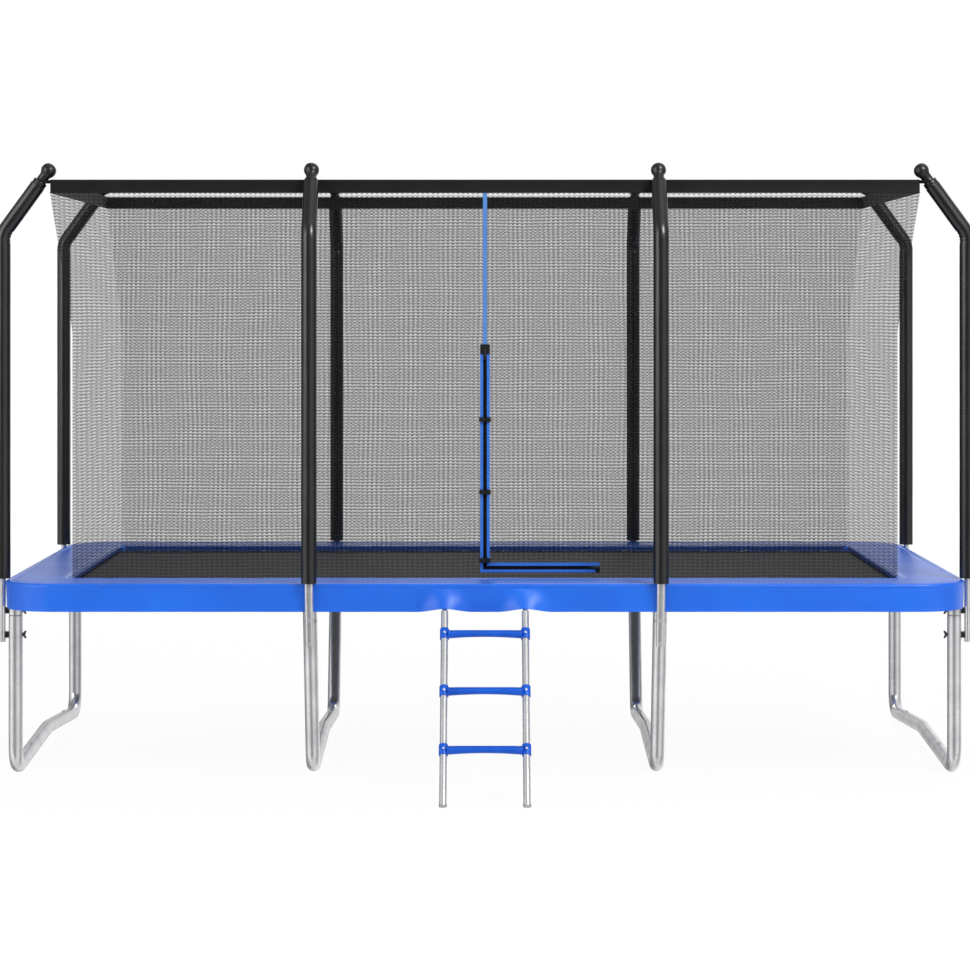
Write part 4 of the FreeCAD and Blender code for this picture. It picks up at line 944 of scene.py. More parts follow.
def addWingNut(mesh, seat, inward, along, lift):
    revolve(mesh, b["nutHub"], seat, inward, 28)
    for side in (1, -1):
        layers = []
        for share, width, thick in b["wing"]:
            slope = b["wingSlope"][0] + b["wingSlope"][1] * share
            points = [(slope + u, v) for u, v in roundedRectangle(width, thick, thick * b["wingRound"], 4)]
            layers.append((b["wingRoot"] + (b["nutSpan"] / 2 - b["wingGap"]) * share, points))
        stackOutline(mesh, seat, inward, along, lift * side, layers)


def makeSpacersAndNuts():
    spacers = bmesh.new()
    nuts = bmesh.new()
    for post, out in boltSpots():
        along = rear if abs(out.x) > 0.5 else right
        lift = out.cross(along)
        addSpacer(spacers, post, out, along, lift)
        addWingNut(nuts, post - out * f["legRadius"], out * -1, along, lift)
    makePiece("poleSpacers", spacers, blackPlastic, frameBody, ["pole_spacers"])
    makePiece("wingNuts", nuts, greyPlastic, frameBody, ["wing_nuts"])


makeBolts()
makeSpacersAndNuts()
print("fasteners made")


# Mat and springs
matSizes = {
    "halfLength": 1.88, "halfWidth": 0.94, "level": 0.85, "corner": 0.06, "clothThickness": 0.0018,
    "rows": 48, "crowding": 0.9, "merge": 0.0004, "cutCorners": 0.0016, "rimWidth": 0.05, "rimRise": 0.0009,
    "longSprings": 18, "shortSprings": 9, "margin": 0.13, "seatLevel": 0.838,
    "railEdgeX": 2.0748, "railEdgeY": 1.1598, "springGap": 0.0003, "coilRadius": 0.009, "wireRadius": 0.0016,
    "eyeLift": 0.0045, "eyeRadius": 0.006,
    "turns": 22.0, "hook": 0.032, "sinkReach": 1.1, "hemInset": 0.03, "hemPitch": 0.018, "hemEnd": 0.09,
    "hemLift": 0.0021,
}
m = matSizes


def blendMat(piece):
    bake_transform(piece)


# Half a side's length, and half the mat's size at a right angle to it
def matHalves(longSide):
    return (m["halfLength"], m["halfWidth"]) if longSide else (m["halfWidth"], m["halfLength"])


# One panel of the mat, its long edge outside, with a hemmed rim
def makeMatPanel(side):
    out, along, longSide = walls[side]
    halfSpan, halfReach = matHalves(longSide)
    inner = halfReach - m["halfWidth"]
    columns = m["rows"] * (2 if longSide else 1)
    corner = m["corner"]
    rows = []
    for r in range(m["rows"] + 1):
        reach = inner + (halfReach - inner) * (r / m["rows"]) ** m["crowding"]
        span = halfSpan - (halfReach - reach)
        row = []
        for c in range(columns + 1):
            u = span * (2 * c / columns - 1)
            v = reach
            away = math.hypot(max(0, abs(u) - halfSpan + corner), max(0, v - halfReach + corner))
            if away > corner:
                pull = corner / away
                u = math.copysign(halfSpan - corner + (abs(u) - halfSpan + corner) * pull, u)
                v = halfReach - corner + (v - halfReach + corner) * pull
            edge = max(0.0, 1 - (halfReach - v) / m["rimWidth"])
            row.append(out * v + along * u + up * (m["level"] + m["rimRise"] * min(1, edge * 4)))
        rows.append(row)
    mesh = bmesh.new()
    clothGrid(mesh, rows, [[(point.x, point.y) for point in row] for row in rows])
    bmesh.ops.remove_doubles(mesh, verts=mesh.verts, dist=m["merge"])
    piece = makePiece(f"matPanel{side.title()}", mesh, matWeave, None, ["jump_mat"])
    if piece.data.polygons[0].normal.z < 0:
        piece.data.flip_normals()
    thicken(piece, m["clothThickness"])
    blendMat(piece)


def makeSprings(side):
    out, along, longSide = walls[side]
    halfSpan, halfReach = matHalves(longSide)
    count = m["longSprings"] if longSide else m["shortSprings"]
    railEdge = m["railEdgeY"] if longSide else m["railEdgeX"]
    span = 2 * (halfSpan - m["margin"])
    pull = out * (railEdge - halfReach - m["springGap"]) + up * (m["seatLevel"] - m["level"])
    starts = [along * (span * (i / (count - 1) - 0.5)) + out * (halfReach + m["springGap"]) + up * m["level"]
              for i in range(count)]
    piece = growTree(f"springs{side.title()}", springTree, starts, [], [pull.normalized()] * count,
                     Coil_Radius=m["coilRadius"], Wire_Radius=m["wireRadius"], Turns=m["turns"],
                     Coil_Length=pull.length - 2 * m["hook"], Hook_Length=m["hook"],
                     Eye_Radius=m["eyeRadius"], Eye_Lift=m["eyeLift"], Material=zincPlate)
    attach(piece, None, ["springs"])
    blendMat(piece)
    hemHalf = halfSpan - m["hemEnd"]
    lines = []
    for shift in (0.0, m["hemPitch"]):
        reach = out * (halfReach - m["hemInset"] - shift) + up * (m["level"] + m["hemLift"])
        lines.append([along * (hemHalf * (i / 20 - 1)) + reach for i in range(41)])
    hem = stitches(f"matStitches{side.title()}", lines, None, blackThread, pitch=0.011, length=0.007)
    blendMat(hem)


for side in walls:
    makeMatPanel(side)
for side in walls:
    makeSprings(side)
print("mat and springs made")


# Safety pad: a puffed ring, with a stitched seam inside either edge and joints along and across it
padSizes = {
    "innerX": 1.86, "innerY": 0.92, "outerX": 2.146, "outerY": 1.231, "foot": 0.8603, "thickness": 0.022,
    "cornerRadius": 0.241, "innerRadius": 0.03, "edge": 0.009, "panelLength": 0.56, "least": 0.004,
    "seams": (0.09, 0.9), "seamDepth": 0.0042, "seamHalf": 0.006, "jointDepth": 0.0028, "jointHalf": 0.01,
    "sink": 0.0012, "puff": 0.0011, "crease": 0.0006, "pipingLevel": 0.0125, "pipingRadius": 0.0024,
    "pipingInset": (0.9992, 0.9986), "threadLift": 0.0004, "underside": 0.0004,
    "shares": (0, 0.006, 0.018, 0.035, 0.06, 0.078, 0.09, 0.102, 0.13, 0.2, 0.3, 0.42, 0.54, 0.66, 0.78, 0.85,
               0.885, 0.9, 0.915, 0.94, 0.965, 0.982, 0.994, 1),
}
d = padSizes


# Points of a rounded rectangle, evenly set along its straight sides and corners
def ringPoints(halfX, halfY, radius, sidePoints=(120, 66), cornerPoints=14):
    points = []
    headings = ((-1, 0), (0, -1), (1, 0), (0, 1))
    for index, (signX, signY) in enumerate(cornerSigns):
        centre = Vector((signX * (halfX - radius), signY * (halfY - radius)))
        angles = [math.pi / 2 * (index + i / cornerPoints) for i in range(cornerPoints + 1)]
        corner = [centre + Vector((math.cos(angle), math.sin(angle))) * radius for angle in angles]
        count = sidePoints[index % 2]
        length = 2 * ((halfX, halfY)[index % 2] - radius)
        heading = Vector(headings[index])
        points += corner[:-1] + [corner[-1] + heading * (length * i / count) for i in range(count)]
    return points


def padRing(share):
    halfX = d["innerX"] + (d["outerX"] - d["innerX"]) * share
    halfY = d["innerY"] + (d["outerY"] - d["innerY"]) * share
    return ringPoints(halfX, halfY, d["innerRadius"] + (d["cornerRadius"] - d["innerRadius"]) * share)


# Distance to the nearest of the joints that part the pad into panels
def jointDistance(place):
    half = d["panelLength"] / 2
    return abs((place + half) % d["panelLength"] - half)


# Height of the pad's crown over its foot at a share of its width and a way round
def padCrown(share, point):
    width = d["outerX"] - d["innerX"]
    fromEdge = min(share, 1 - share) * width
    rounding = min(1.0, fromEdge / d["edge"])
    height = d["thickness"] * (0.5 + 0.5 * math.sqrt(max(0.0, 1 - (1 - rounding) ** 2)))
    dip = 0.0
    for seam in d["seams"]:
        dip += d["seamDepth"] * math.exp(-((share - seam) * width / d["seamHalf"]) ** 2)
    joint = jointDistance(point.x) if abs(point.y) > d["innerY"] + 0.01 else 1.0
    if abs(point.x) > d["innerX"] + 0.01:
        joint = min(joint, jointDistance(point.y))
    dip += d["jointDepth"] * math.exp(-(joint / d["jointHalf"]) ** 2)
    puff = d["puff"] * noise.noise(Vector((point.x * 7, point.y * 7, 0.3)))
    puff += d["crease"] * noise.noise(point.to_3d() * 23)
    return min(d["thickness"], max(d["least"], height - dip - d["sink"] + puff * rounding))


def padPoint(share, q, lift=0.0):
    return Vector((q.x, q.y, d["foot"] + padCrown(share, q) + lift))


def makePad():
    mesh = bmesh.new()
    rings = [[mesh.verts.new(padPoint(share, q)) for q in padRing(share)] for share in d["shares"]]
    for share in (1, 0):
        rings.append([mesh.verts.new((q.x, q.y, d["foot"] + d["underside"])) for q in padRing(share)])
    bridge(mesh, rings, closed=True)
    mapCloth(mesh, lambda spot: (spot.x, spot.y + spot.z))
    piece = makePiece("safetyPad", mesh, blueCover, frameBody, ["safety_pad"], sharp=50)
    lines = []
    for share in d["seams"]:
        line = [padPoint(share, q, d["threadLift"]) for q in padRing(share)]
        lines.append(line + line[:1])
    stitches("padStitches", lines, frameBody, blueThread, pitch=0.01, length=0.006)
    piping = bmesh.new()
    level = d["foot"] + d["pipingLevel"]
    insetX, insetY = d["pipingInset"]
    ringRod(piping, [Vector((q.x * insetX, q.y * insetY, level)) for q in padRing(1)], d["pipingRadius"])
    makePiece("padPiping", piping, blueCover, frameBody)


# Skirt under the pad's edge: four flaps between the side poles, the front one lying over the ladder
skirtSizes = {
    "drop": 0.103, "tubeLift": 0.018, "thickness": 0.0012, "threadLift": 0.0008, "bulge": 0.055,
    "bulgeCentre": 0.177, "bulgeHalf": 0.12,
    "slotHalf": 0.0198, "slotTop": 0.811, "slotRound": 0.004, "poleX": 0.7745, "fold": 0.0024, "inset": 0.002,
    "seams": (0.035, 0.88), "liftFoot": 0.762,
    "shares": (0, 0.03, 0.08, 0.16, 0.25, 0.35, 0.45, 0.55, 0.65, 0.75, 0.83, 0.88, 0.92, 0.96, 1.0),
}
k = skirtSizes


def skirtPoint(q, outward, share, front):
    swell = 0.0
    if front:
        for side in (-1, 1):
            away = (q.x - side * k["bulgeCentre"]) / k["bulgeHalf"]
            if abs(away) < 1:
                swell += k["bulge"] * (1 + math.cos(math.pi * away)) / 2
    ripple = 0.5 + 0.5 * noise.noise(Vector((q.x * 3.1, q.y * 3.1, 4.2)))
    wave = math.sin(q.x * 21 + q.y * 19) + 0.5 * math.sin(q.x * 47 - q.y * 43 + 1.1)
    fold = k["fold"] * ripple * wave * share
    lift = k["tubeLift"] * (swell / k["bulge"]) * share
    reach = swell * share - k["inset"] - k["fold"] * 1.6 * share + fold
    level = d["foot"] - (k["drop"] - lift) * share
    return Vector((q.x, q.y, 0)) + outward * reach + up * level


# The pad's outer outline shared out to the flaps, each as places in it
def skirtFlaps(outline):
    flaps = {"Front": [], "Rear": [], "Right": [], "Left": []}
    for i, q in enumerate(outline):
        onFace = abs(q.x) <= k["poleX"] + 0.001
        name = ("Rear" if q.y > 0 else "Front") if onFace else ("Right" if q.x > 0 else "Left")
        flaps[name].append(i)
    count = len(outline)
    for name, places in flaps.items():
        start = next(i for i in places if (i - 1) % count not in places)
        order = [(start + step) % count for step in range(len(places))]
        if name in ("Right", "Left"):
            order = [(order[0] - 1) % count] + order + [(order[-1] + 1) % count]
        flaps[name] = order
    return flaps


def outwardAt(points, index):
    heading = (points[min(index + 1, len(points) - 1)] - points[max(index - 1, 0)]).normalized()
    return Vector((heading.y, -heading.x, 0))


def makeFlap(name, points, arc):
    front = name == "Front"
    beyond = name in ("Right", "Left")
    rows = []
    pattern = []
    for share in k["shares"]:
        row = []
        opened = max(0.0, (share * k["drop"] - (d["foot"] - k["slotTop"])) / k["slotRound"])
        for index, q in enumerate(points):
            shifted = q.copy()
            if abs(abs(q.x) - k["poleX"]) < k["slotHalf"] and opened > 0:
                side = 1 if abs(q.x) > k["poleX"] or beyond else -1
                shifted.x = math.copysign(k["poleX"] + side * k["slotHalf"] * min(1, opened), q.x)
            row.append(skirtPoint(shifted, outwardAt(points, index), share, front))
        rows.append(row)
        pattern.append([(along, share * k["drop"]) for along in arc])
    mesh = bmesh.new()
    clothGrid(mesh, rows, pattern)
    piece = makePiece(f"skirt{name}", mesh, blueCover, None, ["pad_skirt"])
    thicken(piece, k["thickness"])
    lines = []
    for share in k["seams"]:
        line = []
        for index in range(2, len(points) - 2):
            outward = outwardAt(points, index)
            line.append(skirtPoint(points[index], outward, share, front) + outward * k["threadLift"])
        lines.append(line)
    thread = stitches(f"skirtStitches{name}", lines, None, blueThread)
    for cloth in (piece, thread):
        if front:
            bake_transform(cloth)
        else:
            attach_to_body(cloth, frameBody)


def makeSkirt():
    outline = ringPoints(d["outerX"], d["outerY"], d["cornerRadius"], (240, 110), 22)
    arc = [0.0]
    for before, after in zip(outline, outline[1:] + outline[:1]):
        arc.append(arc[-1] + (after - before).length)
    for name, order in skirtFlaps(outline).items():
        points = [outline[i].copy() for i in order]
        for end in (0, -1):
            points[end].x = math.copysign(k["poleX"], points[end].x)
        makeFlap(name, points, [arc[i] for i in order])


makePad()
makeSkirt()
print("pad and skirt made")


# Net walls, band and its loops
netSizes = {
    "x": 1.8597, "y": 0.9197, "foot": 0.8518, "fold": 1.99, "top": 2.61, "flareX": 0.085, "flareY": 0.115,
    "inset": 0.0006, "levels": 90, "ripple": 0.0016, "calmReach": 0.1, "bendStart": 1.3, "bendEnd": -0.785,
    "bandFoot": 2.6103, "bandTop": 2.6703, "bandThickness": 0.003, "bandCorner": 0.006,
    "bandProfile": ((0.0, 0.0), (0.0, 0.004), (0.0008, 0.008), (0.0008, 0.05), (0.0, 0.056), (0.0, 0.06)),
    "bandSeams": (0.0055, 0.0535), "threadLift": 0.0002, "loopFoot": 2.6553,
    "loopHalf": 0.0072, "loopGap": 0.0014,
    "loopThickness": 0.0016, "loopInset": 0.0012, "loopRoot": 0.004,
    "loopWaist": (0.55, 0.78), "loopSteps": 18, "loopPitch": 0.004,
}
n = netSizes


def blendNet(piece):
    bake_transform(piece)


def netReach(level):
    share = min(1.0, max(0.0, (level - n["fold"]) / (n["top"] - n["fold"])))
    return n["x"] + n["flareX"] * share - n["inset"], n["y"] + n["flareY"] * share - n["inset"]


def makeNetWall(side):
    out, along, longSide = walls[side]
    seed = sum(out) * 3.0 + longSide
    columns = n["levels"] * (2 if longSide else 1)
    rows = []
    pattern = []
    climb = 0.0
    before = None
    for i in range(n["levels"] + 1):
        level = n["foot"] + (n["top"] - n["foot"]) * i / n["levels"]
        reachX, reachY = netReach(level)
        span, reach = (reachX, reachY) if longSide else (reachY, reachX)
        if before:
            climb += math.hypot(level - before[0], reach - before[1])
        before = (level, reach)
        row = []
        spots = []
        ends = min(1.0, (level - n["foot"]) / n["calmReach"], (n["top"] - level) / n["calmReach"])
        for c in range(columns + 1):
            u = span * (2 * c / columns - 1)
            calm = min(1.0, (span - abs(u)) / n["calmReach"]) * ends
            sway = n["ripple"] * calm * noise.noise(Vector((u * 1.7, level * 2.1, seed)))
            row.append(out * (reach - n["ripple"] * calm + sway) + along * u + up * level)
            spots.append((u, climb))
        rows.append(row)
        pattern.append(spots)
    mesh = bmesh.new()
    clothGrid(mesh, rows, pattern)
    material = {"front": frontNet, "rear": rearNet}.get(side, endNet)
    piece = makePiece(f"net{side.title()}", mesh, material, None, [f"net_{side}"], sharp=60)
    blendNet(piece)


def makeBand():
    mesh = bmesh.new()
    halfX = n["x"] + n["flareX"]
    halfY = n["y"] + n["flareY"]
    inner = [(n["bandThickness"] - inset, height) for inset, height in n["bandProfile"][::-1]]
    rings = []
    for inset, height in (*n["bandProfile"], *inner):
        outline = ringPoints(halfX - inset, halfY - inset, n["bandCorner"], (90, 50), 4)
        rings.append([mesh.verts.new((q.x, q.y, n["bandFoot"] + height)) for q in outline])
    bridge(mesh, rings, closed=True)
    mapCloth(mesh, lambda spot: (spot.x + spot.y, spot.z))
    piece = makePiece("netBand", mesh, bandWeave, frameBody, ["net_band"])
    lift = n["threadLift"]
    outline = ringPoints(halfX + lift, halfY + lift, n["bandCorner"], (90, 50), 4)
    lines = []
    for height in n["bandSeams"]:
        line = [Vector((q.x, q.y, n["bandFoot"] + height)) for q in outline]
        lines.append(line + line[:1])
    stitches("bandStitches", lines, frameBody, blackThread, pitch=0.011, length=0.007)


# A webbing loop from the band round each cap's neck
def makeLoops():
    mesh = bmesh.new()
    middle = (n["loopFoot"] + n["bandTop"]) / 2
    radius = p["neck"] + n["loopGap"]
    root = n["loopRoot"]
    waist = n["loopWaist"]
    arc = [math.radians(100 - 200 * i / n["loopSteps"]) for i in range(n["loopSteps"] + 1)]
    for name, pole in poleKinds.items():
        edge = (n["x"] + n["flareX"] if name == "corner" else n["y"] + n["flareY"]) - n["loopInset"]
        for signs in quarterSigns.values():
            direction = mirrorPoint(pole["tipDirection"], *signs)
            knee = mirrorPoint(pole["knee"], *signs)
            outward = mirrorPoint(-pole["inward"], *signs)
            centre = knee + direction * ((middle - knee.z) / direction.z)
            flat = centre.dot(outward) - edge
            path = [(-flat, root), (-flat * waist[0], radius * waist[1])]
            path += [(radius * math.cos(angle), radius * math.sin(angle)) for angle in arc]
            path += [(-flat * waist[0], -radius * waist[1]), (-flat, -root)]
            rows = []
            pattern = []
            for height in (-n["loopHalf"], 0.0, n["loopHalf"]):
                row = []
                for u, v in path:
                    shift = direction * (height / direction.z) if u > -radius else up * height
                    row.append(centre + outward * u + pole["along"] * v + shift)
                rows.append(row)
                pattern.append([(n["loopPitch"] * i, height) for i in range(len(path))])
            clothGrid(mesh, rows, pattern)
    piece = makePiece("bandLoops", mesh, bandWeave, frameBody, ["band_loops"], sharp=60)
    thicken(piece, n["loopThickness"])


for side in ("front", "rear", "right", "left"):
    makeNetWall(side)
makeBand()
makeLoops()
print("net made")


# Zip door: tape, track, teeth, sliders and buckles
zipSizes = {
    "half": 0.022, "top": 1.91, "level": 0.927, "reach": 0.516, "tapeFace": -0.92, "thickness": 0.0016,
    "stripEdge": 0.0004, "stripSlope": 0.0012, "stripDip": (0.35, 0.94), "seam": 0.0195,
    "layerGap": 0.0001, "trackHalf": 0.008,
    "seamStripPlaces": (-0.0095, -0.003, 0.003, 0.0095), "seamStripLift": 0.0012,
    "seamStripThickness": 0.0012, "patchThickness": 0.001, "patchLayers": 2.1,
    "patchTop": 1.933, "patchFoot": 1.889, "patchSide": 0.498, "patchEnd": 0.002, "patchRise": 0.008,
    "patchSwell": 0.0006, "sliderLength": 0.032, "sliderHalf": 0.007, "sliderFace": -0.9235,
    "sliderFit": 0.98, "sliderCorner": 0.004, "sliderTaper": (0.28, 0.1), "sliderBar": (0.005, 0.0016),
    "pullShift": 0.016, "pullWidth": 0.0075, "pullCorner": 0.003,
    "sliderLayers": ((0.0, 0.92), (0.0006, 1.0), (0.0026, 1.0), (0.0034, 0.9)),
    "pullLayers": ((0.0038, 0.9), (0.0041, 1.0), (0.0054, 1.0), (0.0057, 0.9)),
    "sliderBridge": ((-0.010, 0.003), (-0.0085, 0.0048), (0.0035, 0.0048), (0.005, 0.003)),
    "buckleFit": (0.985, 0.98), "buckleCorner": 0.005, "waist": (0.16, 0.004, 0.006),
    "bars": (-0.016, -0.0105), "barDepth": 0.0096, "barReach": 0.008, "barSize": (0.003, 0.0012),
    "prongDepth": 0.005, "prongSize": (0.003, 0.0022), "webbingShare": 0.96,
    "webbingDepths": ((-0.0102, -0.0096, -0.0006, 0.0006), (-0.0099, -0.0093, -0.0006, 0.0006)),
    "buckleLevels": {"top": 1.594, "middle": 1.268, "low": 0.96}, "buckleHalf": 0.022, "buckleHeight": 0.023,
    "buckleFace": -0.932, "buckleSeam": 0.0044, "buckleGap": 0.0003, "webbing": (0.0098, 0.021, 0.003),
    "socketLayers": ((0.0, 0.9), (0.0014, 0.98), (0.0035, 1.0), (0.0068, 1.0), (0.0088, 0.95),
                     (0.0098, 0.86)),
    "tongueLayers": ((0.0, 0.88), (0.0014, 0.97), (0.0035, 1.0), (0.0068, 1.0), (0.0088, 0.94),
                     (0.0098, 0.84)),
    "prong": ((0.002, 0.0042), (-0.008, 0.005), (-0.0175, 0.0036)),
}
z = zipSizes


# Points down the upright arm of the L and then along its level arm, shifted into its corner
def doorLine(offset, face):
    down = [Vector((offset, face, z["top"] - (z["top"] - z["level"] - offset) * i / 60)) for i in range(61)]
    onward = [Vector((offset + (z["reach"] - offset) * i / 30, face, z["level"] + offset))
              for i in range(1, 31)]
    return down + onward


# An L-shaped strip with slightly thinned edges
def makeStrip(name, half, face, material, nodes):
    mesh = bmesh.new()
    thick = z["thickness"]
    edge = z["stripEdge"]
    slope = half - z["stripSlope"]
    dip = (half * z["stripDip"][0], thick * z["stripDip"][1])
    section = [(-half, edge), (-slope, thick), (-dip[0], dip[1]), dip, (slope, thick), (half, edge),
               (half, 0.0), (-half, 0.0)]
    drop = z["top"] - z["level"] - half
    path = [(up * (z["top"] - drop * i / 60), right) for i in range(61)]
    path.append((up * z["level"], right + up))
    path += [(right * (half + (z["reach"] - half) * i / 30) + up * z["level"], up) for i in range(31)]
    rings = []
    for place, across in path:
        rings.append([mesh.verts.new(place + across * u + rear * (face - v)) for u, v in section])
    bridge(mesh, rings, capped=True)
    mapCloth(mesh, lambda spot: (spot.x, spot.z))
    blendNet(makePiece(name, mesh, material, None, nodes))


def makeZip():
    trackFace = z["tapeFace"] - z["thickness"] - z["layerGap"]
    makeStrip("zipTape", z["half"], z["tapeFace"], tapeWeave, ["zip_tape"])
    makeStrip("zipTrack", z["trackHalf"], trackFace, trackWeave, ["zip_track"])
    blendNet(stitches("zipTeeth", [doorLine(0.0, trackFace - z["thickness"])], None, zipBlack, pitch=0.0042,
                      length=0.0026, width=0.0062, height=0.0022))
    edges = [doorLine(offset, trackFace) for offset in (-z["seam"], z["seam"])]
    blendNet(stitches("zipStitches", edges, None, blueThread, pitch=0.008, length=0.005))


# The blue seam from the zip's top to the band
def makeSeamStrip():
    mesh = bmesh.new()
    rows = []
    pattern = []
    for i in range(41):
        level = z["top"] + (n["top"] - z["top"]) * i / 40
        reach = netReach(level)[1] + z["seamStripLift"]
        rows.append([Vector((u, -reach, level)) for u in z["seamStripPlaces"]])
        pattern.append([(u, level) for u in z["seamStripPlaces"]])
    clothGrid(mesh, rows, pattern)
    strip = makePiece("seamStrip", mesh, seamWeave, frameBody, (), sharp=60)
    thicken(strip, z["seamStripThickness"])


# Black webbing sewn over an end of the zip
def makeEndPatch(name, low, high):
    mesh = bmesh.new()
    rows = []
    steps = 8
    for r in range(steps + 1):
        level = low[1] + (high[1] - low[1]) * r / steps
        row = []
        for c in range(steps + 1):
            x = low[0] + (high[0] - low[0]) * c / steps
            swell = z["patchSwell"] * math.sin(math.pi * r / steps) * math.sin(math.pi * c / steps)
            row.append(Vector((x, z["tapeFace"] - z["patchLayers"] * z["thickness"] - swell, level)))
        rows.append(row)
    clothGrid(mesh, rows, [[(point.x, point.z) for point in row] for row in rows])
    patch = makePiece(name, mesh, bandWeave, None, (), sharp=60)
    thicken(patch, z["patchThickness"])
    blendNet(patch)


# Slider body with its bridge and a hanging pull tab
def makeSlider(name, node, body, centre, along, across):
    mesh = bmesh.new()
    length = z["sliderLength"]
    layers = []
    for depth, scale in z["sliderLayers"]:
        outline = []
        for u, v in roundedRectangle(length * z["sliderFit"], z["sliderHalf"] * 2, z["sliderCorner"]):
            taper = 1 - z["sliderTaper"][0] * max(0.0, (u + length * z["sliderTaper"][1]) / length)
            outline.append((u * scale, v * taper * scale))
        layers.append((depth, outline))
    stackOutline(mesh, centre, along, across, -rear, layers)
    bridgePath = [centre + along * u - rear * v for u, v in z["sliderBridge"]]
    sweepShut(mesh, bridgePath, flatOval(*z["sliderBar"], 12), across, 0.0002)
    layers = []
    for depth, scale in z["pullLayers"]:
        outline = roundedRectangle(length * scale, z["pullWidth"] * scale, z["pullCorner"])
        layers.append((depth, [(u - z["pullShift"], v) for u, v in outline]))
    stackOutline(mesh, centre, along, across, -rear, layers)
    makePiece(name, mesh, blackPlastic, body, [node])


# Webbing end behind half a buckle
def addWebbing(mesh, centre, shift, depths):
    outline = [(u + shift - centre.x, v) for u, v in roundedRectangle(*z["webbing"])]
    stackOutline(mesh, centre, right, up, -rear, [(depth, outline) for depth in depths])


# Buckle socket and the tongue that slides out of it
def makeBuckle(name, level):
    face = z["buckleFace"]
    half = z["buckleHalf"]
    seam = z["buckleSeam"]
    webbingReach = half * z["webbingShare"]
    fit, heightFit = z["buckleFit"]
    pinch, pinchPlace, pinchHalf = z["waist"]
    centre = Vector(((seam - half) / 2, face, level))
    socket = bmesh.new()
    layers = []
    for depth, scale in z["socketLayers"]:
        outline = []
        for u, v in roundedRectangle((half + seam) * fit, z["buckleHeight"], z["buckleCorner"]):
            waist = 1 - pinch * math.exp(-((u - pinchPlace) / pinchHalf) ** 2)
            outline.append((u * (0.5 + scale / 2), v * waist * scale))
        layers.append((depth, outline))
    stackOutline(socket, centre, right, up, -rear, layers)
    addWebbing(socket, centre, -webbingReach, z["webbingDepths"][0])
    for x in z["bars"]:
        bar = [Vector((x, face - z["barDepth"], level + side * z["barReach"])) for side in (-1, 1)]
        sweepShut(socket, bar, flatOval(*z["barSize"], 12), right, 0.0002)
    tongue = bmesh.new()
    headLength = half - seam
    headCentre = Vector((seam + z["buckleGap"] + headLength / 2, face, level))
    layers = []
    for depth, scale in z["tongueLayers"]:
        outline = roundedRectangle(headLength * fit, z["buckleHeight"] * heightFit, z["buckleCorner"])
        layers.append((depth, [(u * (0.5 + scale / 2), v * scale) for u, v in outline]))
    stackOutline(tongue, headCentre, right, up, -rear, layers)
    for side in (-1, 1):
        prong = [Vector((seam + reach, face - z["prongDepth"], level + side * rising))
                 for reach, rising in z["prong"]]
        sweepShut(tongue, prong, flatOval(*z["prongSize"], 12), up, 0.0004)
    addWebbing(tongue, headCentre, webbingReach, z["webbingDepths"][1])
    makePiece(f"{name}BuckleTongue", tongue, blackPlastic, f"{name}_tongue", [f"buckle_tongue_{name}"])
    makePiece(f"{name}BuckleSocket", socket, blackPlastic, frameBody, ["buckle_sockets"])


makeZip()
makeSeamStrip()
makeEndPatch("topEndPatch", (-z["half"], z["patchFoot"]), (z["half"], z["patchTop"]))
makeEndPatch("sideEndPatch", (z["patchSide"], z["level"] - z["half"]),
             (z["reach"] + z["patchEnd"], z["level"] + z["patchRise"]))
sliderSpot = Vector((0, z["sliderFace"], z["top"] - z["sliderLength"] / 2))
makeSlider("uprightSlider", "zip_slider_upright", "upright_slider", sliderSpot, up, right)
sliderSpot = Vector((z["reach"] - z["sliderLength"] / 2, z["sliderFace"], z["level"]))
makeSlider("levelSlider", "zip_slider_level", "level_slider", sliderSpot, right, up)
for name, level in z["buckleLevels"].items():
    makeBuckle(name, level)
print("door made")


# Ladder
ladderSizes = {
    "halfWidth": 0.177, "headY": -1.262, "headZ": 0.762, "footY": -1.845, "tube": 0.016, "tubeWall": 0.0015,
    "tubeFoot": 0.0016, "footEdge": 0.0006, "hookWidth": 0.022, "hookInner": 0.0322, "hookThickness": 0.0035,
    "cheek": 0.025, "hookTang": 0.012, "capGap": 0.0003, "capLevel": 0.012, "capWall": 0.0012,
    "capFloor": 0.0013,
    "capEdge": 0.0008, "stepLevels": {"low": 0.214, "middle": 0.442, "top": 0.67}, "barHalf": 0.163,
    "stepDepth": 0.062, "stepHeight": 0.034, "arch": 0.007, "roll": 0.011, "crown": 0.0016,
    "stepEdge": 0.008, "stepFit": 0.995, "stepRound": 0.35, "stations": 48, "ridgePitch": 0.0072,
    "ridgeSink": 0.0009,
    "ridgeHalf": 0.13, "ridgeRadius": 0.0013, "sleeveRadius": 0.02, "sleeveLength": 0.052, "boreGap": 0.0004,
    "screwHead": (0.0045, 0.0026, 0.0022), "screwLength": 0.012,
}
l = ladderSizes
ladderHead = Vector((0, l["headY"], l["headZ"]))
ladderDown = (Vector((0, l["footY"], 0)) - ladderHead).normalized()
ladderFront = Vector((0, ladderDown.z, -ladderDown.y))


def ladderPoint(level, x):
    point = ladderHead + ladderDown * ((level - ladderHead.z) / ladderDown.z)
    return Vector((x, point.y, level))


# Moves a point along the tubes to a level
def cutLevel(point, level):
    return point + ladderDown * ((level - point.z) / ladderDown.z)


